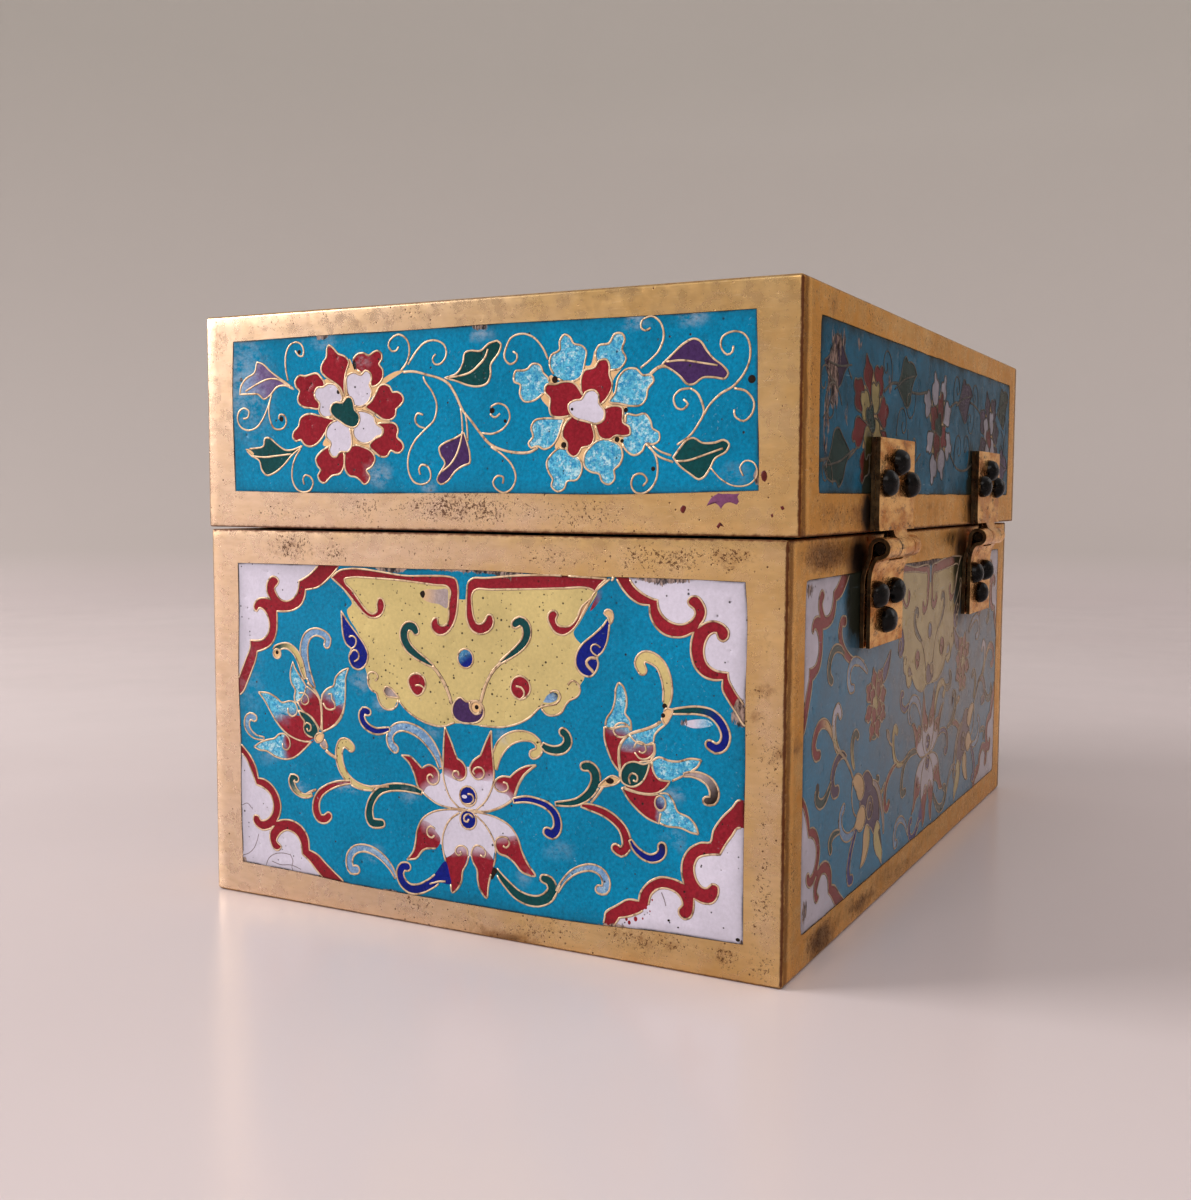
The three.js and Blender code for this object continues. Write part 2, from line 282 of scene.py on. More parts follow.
def enamel_material():
    """Polished glass that has picked up pits, specks, fine scratches and worn or broken places, with a dark
    layer of dirt and painted shade, and a pale haze of painted reflection.
    """
    g = Graph("enamel")
    colour = g.attribute("paint", "Color")
    cloudy = g.ramp(g.noise(9, 3), 0.3, 0.7, 0.88, 1.1)
    fine = g.as_grey(g.ramp(g.noise(0.5, 3, 0.7), 0.25, 0.75, 0.66, 1.3))
    split = g.node("ShaderNodeSeparateColor")
    g.put(split.inputs[0], colour)
    colour = g.mix(1.0, colour, g.as_grey(cloudy), "MULTIPLY")
    colour = g.mix(g.ramp(split.outputs[0], 0.3, 0.6, 1.0, 0.28), colour, fine, "MULTIPLY")
    sky = g.attribute("speck")
    colour = g.mix(
        g.times(sky, g.ramp(g.noise(0.55, 3, 0.75), 0.44, 0.6, 0.0, 0.85)),
        colour,
        linear(20, 122, 180),
    )
    colour = g.mix(
        g.times(sky, g.ramp(g.noise(0.7, 3, 0.75, (1, 1.2, 1)), 0.52, 0.64, 0.0, 0.8)),
        colour,
        linear(196, 228, 232),
    )

    # A pale haze over parts of the back fields: painted reflection of the room, with some dirt.
    dust_and_reflection = g.times(g.attribute("dust_and_reflection"), g.ramp(g.noise(4, 5, 0.7), 0.3, 0.68, 0.6, 1.2))
    colour = g.mix(dust_and_reflection, colour, linear(180, 150, 122))
    # A dark layer: dirt near the rim and over every field, with painted shade over the back fields and
    # painted shadow beside the hinges.
    film_and_shade = g.times(g.attribute("grime_and_shade"), g.ramp(g.noise(4, 5, 0.7), 0.3, 0.66, 0.62, 1.12))
    colour = g.mix(g.math("MINIMUM", g.times(film_and_shade, 0.76), 0.97), colour, linear(32, 30, 8))

    dotted = g.attribute("dotted")
    large = g.times(
        g.ramp(g.cells(1.4), 0.14, 0.09),
        g.ramp(g.math("ADD", g.cells(1.4, "Color"), g.times(dotted, 0.34)), 0.76, 0.8),
    )
    small = g.times(
        g.ramp(g.cells(0.7), 0.2, 0.12),
        g.ramp(g.math("ADD", g.cells(0.7, "Color"), g.times(dotted, 0.3)), 0.8, 0.84),
    )
    pinhole = g.math("MAXIMUM", large, small)
    colour = g.mix(g.times(pinhole, 0.92), colour, linear(24, 17, 14))

    # Pale where worn; the large pale patches at the left of the +x end fields are painted reflection.
    worn = g.times(g.attribute("scuff_and_sheen"), g.ramp(g.noise(1.8, 5, 0.75, (1, 1, 0.6)), 0.4, 0.66))
    colour = g.mix(g.times(worn, 0.6), colour, linear(176, 184, 196))
    scratches = g.times(
        g.ramp(g.noise(0.4, 2, 0.5, (14, 1, 1), 0.6), 0.67, 0.72),
        g.ramp(g.noise(6, 2), 0.5, 0.7),
    )
    colour = g.mix(g.times(scratches, 0.22), colour, linear(170, 200, 215))

    ragged = g.ramp(g.noise(1.1, 5, 0.75, (1, 1, 3.5)), 0.3, 0.7, -0.4, 0.4)
    broken = g.ramp(g.math("ADD", g.attribute("broken"), ragged), 0.42, 0.5)
    ground = g.mix(
        g.ramp(g.noise(0.7, 4, 0.7, (1, 1, 2.5)), 0.42, 0.6),
        linear(40, 28, 24),
        linear(166, 142, 130),
    )
    colour = g.mix(g.times(broken, 0.94), colour, ground)

    flaws = g.math("MAXIMUM", pinhole, g.math("MAXIMUM", worn, broken))
    rough = g.math("ADD", g.ramp(g.noise(4, 3), 0.3, 0.7, 0.13, 0.22), g.times(flaws, 0.4))
    rough = g.math("ADD", rough, g.times(g.math("ADD", film_and_shade, dust_and_reflection), 0.1))
    normal = g.bump(g.noise(1.1, 3, 0.55), 0.02, 0.6)
    normal = g.bump(g.math("SUBTRACT", 1.0, g.math("MAXIMUM", pinhole, broken)), 0.05, 0.6, normal)
    shine = g.ramp(g.attribute("grime_and_shade"), 0.1, 0.8, 0.14, 0.02)
    return g.finish(Base_Color=colour, Roughness=rough, Normal=normal, Specular_IOR_Level=shine)


def brass_material(name, light, dark, wear=1.0):
    """Old brass: brushed, rubbed pale or brown in places, and pitted with fine brown specks; with painted
    highlight, painted shade and painted shadow laid into its colour.
    """
    g = Graph(name)
    colour = g.mix(g.ramp(g.noise(14, 4, 0.6), 0.3, 0.7), light, dark)
    # Pale where the number is below nought and brown above it: rubbing and tarnish, with painted highlight in
    # the large pale patch on each +x end and painted shade on the darker back faces.
    tone_and_painted_light = g.attribute("tone_and_painted_light")
    uneven = g.times(g.ramp(g.noise(4, 5, 0.7), 0.3, 0.7, -1.0, 1.0), g.ramp(tone_and_painted_light, 0.0, 1.0, 0.2, 0.6))
    tone_and_painted_light = g.math("ADD", tone_and_painted_light, uneven)
    colour = g.mix(g.ramp(tone_and_painted_light, 0.0, -1.0), colour, linear(222, 194, 168))
    colour = g.mix(g.ramp(tone_and_painted_light, 0.0, 1.0), colour, TARNISH_AND_SHADE, "MULTIPLY")
    # Bands beside the upright edges of the darker faces: a brown band, then a pale gold band that is a
    # painted highlight.
    ribbon = g.math("ADD", g.attribute("ribbon"), g.ramp(g.noise(2.5, 3, 0.6), 0.3, 0.7, -0.25, 0.25))
    dull = g.times(g.ramp(ribbon, 0.2, 0.6), g.ramp(ribbon, 2.1, 1.5), g.ramp(g.attribute("tone_and_painted_light"), 0.3, 0.7))
    colour = g.mix(g.times(dull, 0.75), colour, linear(96, 48, 22))
    bright = g.times(
        g.ramp(ribbon, 1.9, 2.4),
        g.ramp(ribbon, 3.5, 2.9),
        g.ramp(g.attribute("tone_and_painted_light"), 0.3, 0.7),
    )
    colour = g.mix(g.times(bright, 0.6), colour, linear(244, 190, 112))
    brushed = g.noise(0.35, 2, 0.5, (7, 7, 2))
    colour = g.mix(g.ramp(brushed, 0.3, 0.8, 0.0, 0.22), colour, linear(150, 108, 62))
    hairlines = g.times(
        g.ramp(g.noise(0.32, 2, 0.5, (9, 9, 0.8), 1.2), 0.62, 0.7),
        g.ramp(g.noise(5, 2), 0.45, 0.65),
    )
    colour = g.mix(g.times(hairlines, 0.3), colour, linear(246, 222, 184))

    # Brown marks, near black where strongest; the dark brown and near black patches beside the hinges are
    # painted shadow.
    darkened = g.attribute("brown_and_shadow")
    brown_and_shadow = g.ramp(g.math("ADD", darkened, g.ramp(g.noise(1.4, 5, 0.8), 0.3, 0.7, -0.4, 0.4)), 0.3, 0.9)
    colour = g.mix(g.times(brown_and_shadow, 0.7 * wear), colour, linear(122, 72, 34))
    colour = g.mix(
        g.ramp(g.math("ADD", darkened, g.noise(1.6, 4, 0.7)), 1.25, 2.1),
        colour,
        linear(20, 14, 12),
    )

    pitted = g.math("ADD", g.attribute("pitted"), g.ramp(g.noise(5, 4, 0.6), 0.35, 0.7, -0.12, 0.3))
    fine = g.ramp(g.math("ADD", g.noise(0.34, 3, 0.75), g.times(pitted, 0.19)), 0.71, 0.75)
    coarse = g.times(
        g.ramp(g.cells(0.8), 0.22, 0.13),
        g.ramp(g.math("ADD", g.cells(0.8, "Color"), g.times(pitted, 0.36)), 0.92, 0.95),
    )
    pits = g.math("MAXIMUM", fine, coarse)
    colour = g.mix(g.times(pits, 0.9 * wear), colour, linear(74, 36, 18))

    # Dark brown along every edge of the case: painted shade on its rounded edges.
    edge = g.ramp(
        g.math("ADD", g.attribute("edge"), g.ramp(g.noise(0.8, 3, 0.7), 0.3, 0.7, -0.07, 0.07)),
        0.5,
        0.68,
    )
    colour = g.mix(g.times(edge, 0.92), colour, linear(82, 32, 16))
    marks = g.math("MAXIMUM", g.math("MAXIMUM", pits, edge), g.times(brown_and_shadow, 0.6))
    metal = g.ramp(marks, 0.0, 1.0, 1.0, 0.2)
    rough = g.math("ADD", g.ramp(g.noise(2, 4, 0.6), 0.3, 0.7, 0.22, 0.36), g.times(marks, 0.3))
    normal = g.bump(brushed, 0.012, 0.5)
    normal = g.bump(g.noise(7, 3, 0.6), 0.14, 0.45, normal)
    normal = g.bump(g.math("SUBTRACT", 1.0, pits), 0.05, 0.6, normal)
    return g.finish(
        Base_Color=colour,
        Metallic=metal,
        Roughness=rough,
        Normal=normal,
        Specular_IOR_Level=0.15,
        Specular_Tint=GRAZING_TINT,
    )


def hinge_material():
    """Bent brass sheet: its faces rubbed and stained, its cut edges that face along x painted nearly black,
    painted shade with tarnish.
    """
    g = Graph("hinge_brass")
    wide = (2.4, 1, 1)
    colour = g.mix(g.ramp(g.noise(3, 4, 0.65, wide), 0.4, 0.58), linear(255, 206, 138), linear(190, 120, 58))
    stain = g.ramp(g.noise(1.6, 5, 0.75, wide), 0.55, 0.66)
    colour = g.mix(g.times(stain, 0.85), colour, linear(58, 28, 10))
    pits = g.ramp(g.noise(0.35, 3, 0.7, wide), 0.62, 0.68)
    colour = g.mix(g.times(pits, 0.8), colour, linear(36, 20, 10))
    # Faces that point along x are painted nearly black: painted shade on the leaves' sides, with tarnish.
    across = g.node("ShaderNodeSeparateXYZ")
    g.put(across.inputs[0], g.node("ShaderNodeTexCoord").outputs["Normal"])
    cut = g.ramp(g.math("ABSOLUTE", across.outputs[0]), 0.6, 0.85)
    colour = g.mix(
        g.times(cut, g.ramp(g.noise(0.9, 3, 0.6), 0.3, 0.7, 0.99, 0.9)),
        colour,
        linear(20, 14, 10),
    )
    marks = g.math("MAXIMUM", g.math("MAXIMUM", pits, cut), g.times(stain, 0.7))
    rough = g.math("ADD", g.ramp(g.noise(2, 3, 0.5, wide), 0.3, 0.7, 0.12, 0.3), g.times(marks, 0.25))
    normal = g.bump(g.noise(2.2, 3, 0.55, wide), 0.4, 0.8)
    normal = g.bump(g.math("SUBTRACT", 1.0, pits), 0.05, 0.5, normal)
    return g.finish(
        Base_Color=colour,
        Metallic=g.ramp(marks, 0.0, 1.0, 1.0, 0.2),
        Roughness=rough,
        Normal=normal,
        Specular_IOR_Level=0.2,
        Specular_Tint=GRAZING_TINT,
    )


def wire_material():
    """The thin wires: pale polished brass on top, black where they meet the glass."""
    g = Graph("wire_brass")
    colour = g.mix(g.ramp(g.noise(2.5, 3, 0.6), 0.45, 0.7), linear(222, 194, 160), linear(176, 142, 108))
    colour = g.mix(g.ramp(g.noise(0.8, 2), 0.56, 0.7, 0.0, 0.7), colour, linear(84, 54, 40))
    seam = g.ramp(
        g.math("ADD", g.attribute("seam"), g.ramp(g.noise(1.3, 3, 0.6), 0.3, 0.7, -0.15, 0.15)),
        0.12,
        0.42,
    )
    # A dull dark layer on the wires of the back fields: dirt, with painted shade.
    dull = g.attribute("grime_and_shade")
    colour = g.mix(g.times(dull, g.ramp(g.noise(3, 3), 0.3, 0.7, 0.84, 1.0)), colour, linear(32, 36, 32))
    colour = g.mix(g.times(seam, 0.9), colour, linear(30, 20, 20))
    rough = g.math(
        "ADD",
        g.ramp(g.noise(1, 2), 0.3, 0.7, 0.3, 0.45),
        g.times(g.math("MAXIMUM", seam, dull), 0.2),
    )
    metal = g.ramp(g.math("MAXIMUM", seam, dull), 0.0, 1.0, 0.55, 0.05)
    return g.finish(
        Base_Color=colour,
        Metallic=metal,
        Roughness=rough,
        Normal=g.bump(g.noise(0.3, 2), 0.01, 0.5),
        Specular_IOR_Level=0.25,
    )


def bronze_material():
    """Nearly black bronze, shiny where it is rubbed."""
    g = Graph("dark_bronze")
    colour = g.mix(g.ramp(g.noise(1.6, 4, 0.65), 0.45, 0.75), linear(4, 4, 5), linear(22, 14, 10))
    rough = g.ramp(g.noise(0.9, 4, 0.6), 0.3, 0.7, 0.12, 0.32)
    return g.finish(
        Base_Color=colour,
        Metallic=0.0,
        Specular_IOR_Level=0.16,
        Roughness=rough,
        Normal=g.bump(g.noise(1.3, 3), 0.08, 0.6),
    )


def lining_material():
    """Plain speckled enamel inside the box, with the ripple of glass that wasn't ground flat."""
    g = Graph("lining_enamel")
    colour = g.mix(g.ramp(g.noise(12, 3), 0.3, 0.7), linear(24, 128, 158), linear(52, 152, 172))
    specks = g.ramp(g.noise(0.9, 3, 0.7), 0.6, 0.68)
    colour = g.mix(g.times(specks, 0.5), colour, linear(150, 200, 205))
    pinhole = g.times(g.ramp(g.cells(1.8), 0.12, 0.08), g.ramp(g.cells(1.8, "Color"), 0.55, 0.6))
    colour = g.mix(g.times(pinhole, 0.8), colour, linear(26, 40, 48))
    normal = g.bump(g.noise(4.5, 3, 0.5), 0.35, 0.5)
    return g.finish(Base_Color=colour, Roughness=g.ramp(g.noise(5, 3), 0.3, 0.7, 0.18, 0.3), Normal=normal)


def floor_material():
    """A pale glossy table top that rises into a wall painted darker, and darker higher up, as painted shade;
    it is painted dark and dull below the window lamp, painted shade against its pool of light.
    """
    g = Graph("floor")
    colour = g.mix(g.ramp(g.noise(160, 2), 0.3, 0.7), linear(221, 209, 210), linear(216, 203, 204))
    # The wall is painted darker, and darker higher up: painted shade.
    height = g.node("ShaderNodeSeparateXYZ")
    g.put(height.inputs[0], g.here)
    wall = g.mix(g.ramp(height.outputs[2], 0.05, 0.4), linear(203, 194, 191), linear(186, 181, 175))
    colour = g.mix(g.ramp(height.outputs[2], 0.0, 0.025), colour, wall)
    # Painted shade on the floor below the window lamp, where its light pools.
    away = g.node("ShaderNodeVectorMath", operation="DISTANCE")
    g.put(away.inputs[0], g.here)
    g.put(away.inputs[1], WINDOW_SHADE_SPOT)
    colour = g.mix(g.ramp(away.outputs["Value"], 0.1, 0.42, 0.85, 0.0), colour, linear(70, 66, 64))
    rough = g.ramp(g.noise(60, 3), 0.3, 0.7, 0.18, 0.26)
    return g.finish(
        Base_Color=colour,
        Roughness=rough,
        Normal=g.bump(g.noise(35, 2), 0.2, 0.3),
        Specular_IOR_Level=g.ramp(away.outputs["Value"], 0.2, 0.46, 0.0, 0.2),
    )


enamel = enamel_material()
brass = brass_material("brass", linear(228, 194, 140), linear(204, 166, 106))
hinge_brass = hinge_material()
wire_brass = wire_material()
dark_bronze = bronze_material()
lining_enamel = lining_material()


# ---- Drawing in the plane of a panel, in millimetres ----
#
# A picture is a list of areas and a list of wires, both in the order in which they are laid. x runs to
# the right and y up, as seen from outside, with (0, 0) at the middle of the panel.
# A path is written as "x y, x y, ...". A slash is a corner: the next run starts where the last ended.
# A closed path with no slash is smooth all the way round, and one with a slash has a corner at its start.

WIRE = 0.28
STROKE_MARGIN = 0.06
CURVE_STEP = 0.45


def smooth(points, closed, step=CURVE_STEP):
    """Points along a smooth curve through these points, which may carry more than two numbers each."""
    count = len(points)
    if count < 3 and not closed:
        return [tuple(p) for p in points]
    made = []
    for i in range(count if closed else count - 1):
        if closed:
            a, b, c, d = (points[(i + k) % count] for k in (-1, 0, 1, 2))
        else:
            a, b, c, d = (points[min(max(i + k, 0), count - 1)] for k in (-1, 0, 1, 2))
        ab, bc, cd = (max(math.dist(p[:2], q[:2]), TINY) ** 0.5 for p, q in ((a, b), (b, c), (c, d)))
        steps = max(1, math.ceil(bc * bc / step))
        for s in range(steps):
            t = s / steps
            point = []
            for av, bv, cv, dv in zip(a, b, c, d):
                start = (bv - av) / ab - (cv - av) / (ab + bc) + (cv - bv) / bc if a != b else (cv - bv) / bc
                end = (cv - bv) / bc - (dv - bv) / (bc + cd) + (dv - cv) / cd if c != d else (cv - bv) / bc
                start, end = start * bc, end * bc
                point.append(
                    bv
                    + t * start
                    + t * t * (3 * (cv - bv) - 2 * start - end)
                    + t**3 * (2 * (bv - cv) + start + end)
                )
            made.append(tuple(point))
    if not closed:
        made.append(tuple(points[-1]))
    return made


def path(text, closed=False):
    """The points of a written path."""
    runs = [
        [tuple(float(v) for v in p.split()) for p in run.split(",") if p.strip()] for run in text.split("/")
    ]
    if closed and len(runs) == 1:
        return smooth(runs[0], True)
    runs = [run for run in runs if run]
    if closed:
        runs[-1].append(runs[0][0])
    made = []
    for before, run in zip([None, *runs], runs):
        if before:
            run = [before[-1], *run]
        made += smooth(run, False)[:-1]
    return made if closed else made + [runs[-1][-1]]


def swelling(text, cap=6):
    """The outline of a stroke written as "x y width, ...", with a round end at its start."""
    centre = path(text)
    sides = [[], []]
    for i, (x, y, width) in enumerate(centre):
        before, after = centre[max(i - 1, 0)], centre[min(i + 1, len(centre) - 1)]
        along = math.atan2(after[1] - before[1], after[0] - before[0])
        half = width / 2 + STROKE_MARGIN
        for side, turn in zip(sides, (math.pi / 2, -math.pi / 2)):
            side.append((x + half * math.cos(along + turn), y + half * math.sin(along + turn)))
    x, y, width = centre[0]
    half = width / 2 + STROKE_MARGIN
    start = math.atan2(centre[1][1] - y, centre[1][0] - x)
    turns = [start - math.pi / 2 - math.pi * k / cap for k in range(1, cap)]
    round_end = [(x + half * math.cos(turn), y + half * math.sin(turn)) for turn in turns]
    return sides[0] + sides[1][::-1] + round_end


class Picture:
    """Areas and wires, moved by the place that is set while they are drawn."""

    def __init__(self):
        self.areas = []
        self.wires = []
        self.order = 0
        self.place = (0, 0, 0, 1, 1)

    def at(self, x, y, turn=0, scale=1, flip=1):
        """Sets the place: later shapes are turned by these degrees, scaled, flipped in x by -1, and moved."""
        self.place = (x, y, math.radians(turn), scale, flip)
        return self

    def moved(self, points):
        x, y, turn, scale, flip = self.place
        cos, sin = math.cos(turn) * scale, math.sin(turn) * scale
        return [(x + flip * (cos * p[0] - sin * p[1]), y + sin * p[0] + cos * p[1]) for p in points]

    def area(self, colour, text, wired=True, fade=None, outline=None, width=WIRE):
        """An area of one colour, which fades into a second: fade is (second colour, x0, y0, x1, y1)."""
        points = self.moved(outline or path(text, True))
        self.order += 1
        if fade:
            fade = (fade[0], *self.moved([fade[1:3]])[0], *self.moved([fade[3:5]])[0])
        self.areas.append((self.order, points, colour, fade))
        if wired:
            self.wires.append((self.order, [*points, points[0]], width))

    def stroke(self, colour, text, wired=True, fade=None, width=WIRE):
        """A swelling stroke of enamel between two wires."""
        self.area(colour, "", wired, fade, swelling(text), width)

    def wire(self, text, width=WIRE):
        self.order += 1
        self.wires.append((self.order, self.moved(path(text)), width))

    def dot(self, colour, x, y, radius, wired=True, squash=1, fade=None):
        ring = [(x + radius * math.cos(a), y + squash * radius * math.sin(a)) for a in ring_angles(14)]
        self.area(colour, "", wired, fade, ring)


def ring_angles(count):
    return [2 * math.pi * k / count for k in range(count)]


# ---- The pictures ----

def cloud_top_left(p):
    """A cloud for the top left corner: white inside a red band that ends in two curls."""
    p.area(
        "red",
        "-40 23, -21.2 22.6 / -23 20.9, -25 19.5, -26.6 19.1, -27.3 19 / -27.5 18, -28.2 16.8, -29.6 16,"
        "-31.4 15.7, -32.6 15.7 / -32.6 14.3, -32.7 12.9, -33.2 11.5, -34 10.6, -35.4 9.9, -36.4 9.6 /"
        "-36.8 8.2, -37.5 6.7, -38.4 4.9, -39.3 3.4, -40.2 3",
    )
    p.area(
        "white",
        "-40.3 23, -24.8 22.7 / -26 21.6, -27.2 20.8, -28.5 20.2 / -28.6 19.3, -29 18.3, -29.9 17.5,"
        "-31 17.2, -32 17.5, -32.7 18.3, -33 19, -32.5 19.5, -32.2 20.1, -32.7 20.6, -33.4 20.7, -34.1 20.2,"
        "-34.5 19.3, -34.4 18.3, -33.8 17.3 / -34.4 17.5, -35.4 17.5, -36.3 17.2, -36.9 16.5, -36.9 15.8,"
        "-36.4 15.5, -36 16, -35.3 15.9, -34.5 15.1, -34.1 14, -34.2 12.7, -35.1 11.6, -36.4 11.2,"
        "-37.7 11.2 / -37.8 10, -38.5 8.6, -39.3 7, -40.2 5.4",
    )


def cloud_bottom_left(p):
    """A cloud for the bottom left corner: white inside a red band that ends in two curls."""
    p.area(
        "red",
        "-40.3 -23, -40.3 -4.1 / -39.2 -4.9, -37.9 -6.2, -37 -7.7, -36.6 -9.2 / -35.4 -9.3, -34 -10,"
        "-32.9 -11.3, -32.4 -12.8, -32.6 -14.2, -33.2 -15.3 / -31.8 -14.9, -30.1 -14.9, -28.5 -15.6,"
        "-27.4 -17, -27.2 -18.8 / -25.7 -19.3, -24.2 -20.4, -22.8 -21.4, -21.1 -22.6, -20.9 -23",
    )
    p.area(
        "white",
        "-40.3 -23, -40.3 -5.3 / -39 -6.4, -38 -8, -37 -10.2 / -35.6 -10.6, -34.4 -11.4, -33.8 -12.7,"
        "-34 -14, -35 -15.2, -36.2 -15.5, -36.7 -14.9, -37.5 -14.9, -37.7 -15.6, -37.2 -16.4, -36 -16.9,"
        "-34.6 -16.6, -33.7 -16 / -34.5 -17, -34.5 -18.4, -33.8 -19.5, -33 -19.6, -32.4 -19, -32.9 -18.6,"
        "-33.3 -18.2, -32.6 -17.1, -31.3 -16.4, -29.9 -16.7, -28.9 -17.7, -28.5 -19.6 / -27.3 -20.4,"
        "-26 -21.6, -24.6 -23",
    )


def cloud_top_right(p):
    """A cloud for the top right corner: white inside a red band that ends in two curls."""
    p.area(
        "red",
        "40 23, 22.2 22.4 / 23.2 20.9, 24.3 19.8, 25.6 19.1, 26.9 19 / 27 17.9, 27.6 16.6, 28.7 15.6,"
        "30 15.2, 31.6 15.3, 32.9 15.9 / 32.6 14.7, 32.6 13.2, 33.1 11.7, 34.2 10.6, 35.6 10.2, 36.8 10.3 /"
        "36.8 9.1, 37.5 7.9, 38.6 6.4, 39.8 4.9",
    )
    p.area(
        "white",
        "40.3 23, 24 22.4 / 24.8 21.3, 26 20.4, 27.4 19.8, 28 19.7 / 28.2 18.6, 28.8 17.7, 29.9 17,"
        "31.3 16.8, 32.5 17.3, 33.1 18.2, 32.9 18.8, 32.3 19.2, 32.1 19.7, 32.6 20.3, 33.4 20.3, 34.1 19.6,"
        "34.5 18.6, 34.3 17.6, 33.5 16.5 / 34.4 17.1, 35.5 17.4, 36.7 17.1, 37.5 16.3, 37.4 15.4, 36.8 15,"
        "36.2 15.3, 35.9 16, 35.2 15.8, 34.6 15, 34.3 13.6, 34.7 12.2, 35.8 11.4, 37.5 11.2 / 37.6 10.4,"
        "38.2 9.3, 39 8.2, 40.3 6.8",
    )


def cloud_bottom_right(p):
    """A cloud for the bottom right corner: white inside a red band that ends in two curls."""
    p.area(
        "red",
        "40.3 -23, 40.3 -4.2 / 39 -4.3, 38.3 -5.2, 36.8 -6.8, 35.8 -8.4, 35.4 -9.9, 34.2 -10.1, 32.7 -11,"
        "31.8 -12.4, 31.6 -14, 31.9 -15.6 / 30.5 -15.2, 28.8 -15.2, 27.1 -16.1, 26 -17.5, 25.7 -18.7 /"
        "24.3 -18.7, 22.8 -19.6, 21 -20.9, 20.9 -21.5 / 20.8 -23",
    )
    p.area(
        "white",
        "40.3 -23, 40.3 -7.7 / 39 -7.7, 38.3 -8.7, 37.4 -10, 36.7 -11.3 / 35.2 -11.5, 33.8 -12.1, 33.3 -13.4,"
        "33.6 -14.8, 34.4 -15.7, 35.1 -15.7, 35.7 -15.1, 36.5 -15.3, 36.5 -16.5, 35.8 -17.5, 34.5 -17.7,"
        "33.3 -17.3 / 33.3 -18.5, 32.9 -19.7, 32 -20.1, 31.3 -19.6, 31.3 -18.9, 31.8 -18.3, 31.4 -17.3,"
        "30.1 -16.6, 28.6 -16.7, 27.5 -17.6, 27.1 -19 / 26 -20.1, 24.4 -20.9, 23 -21.3 / 22.2 -23",
    )


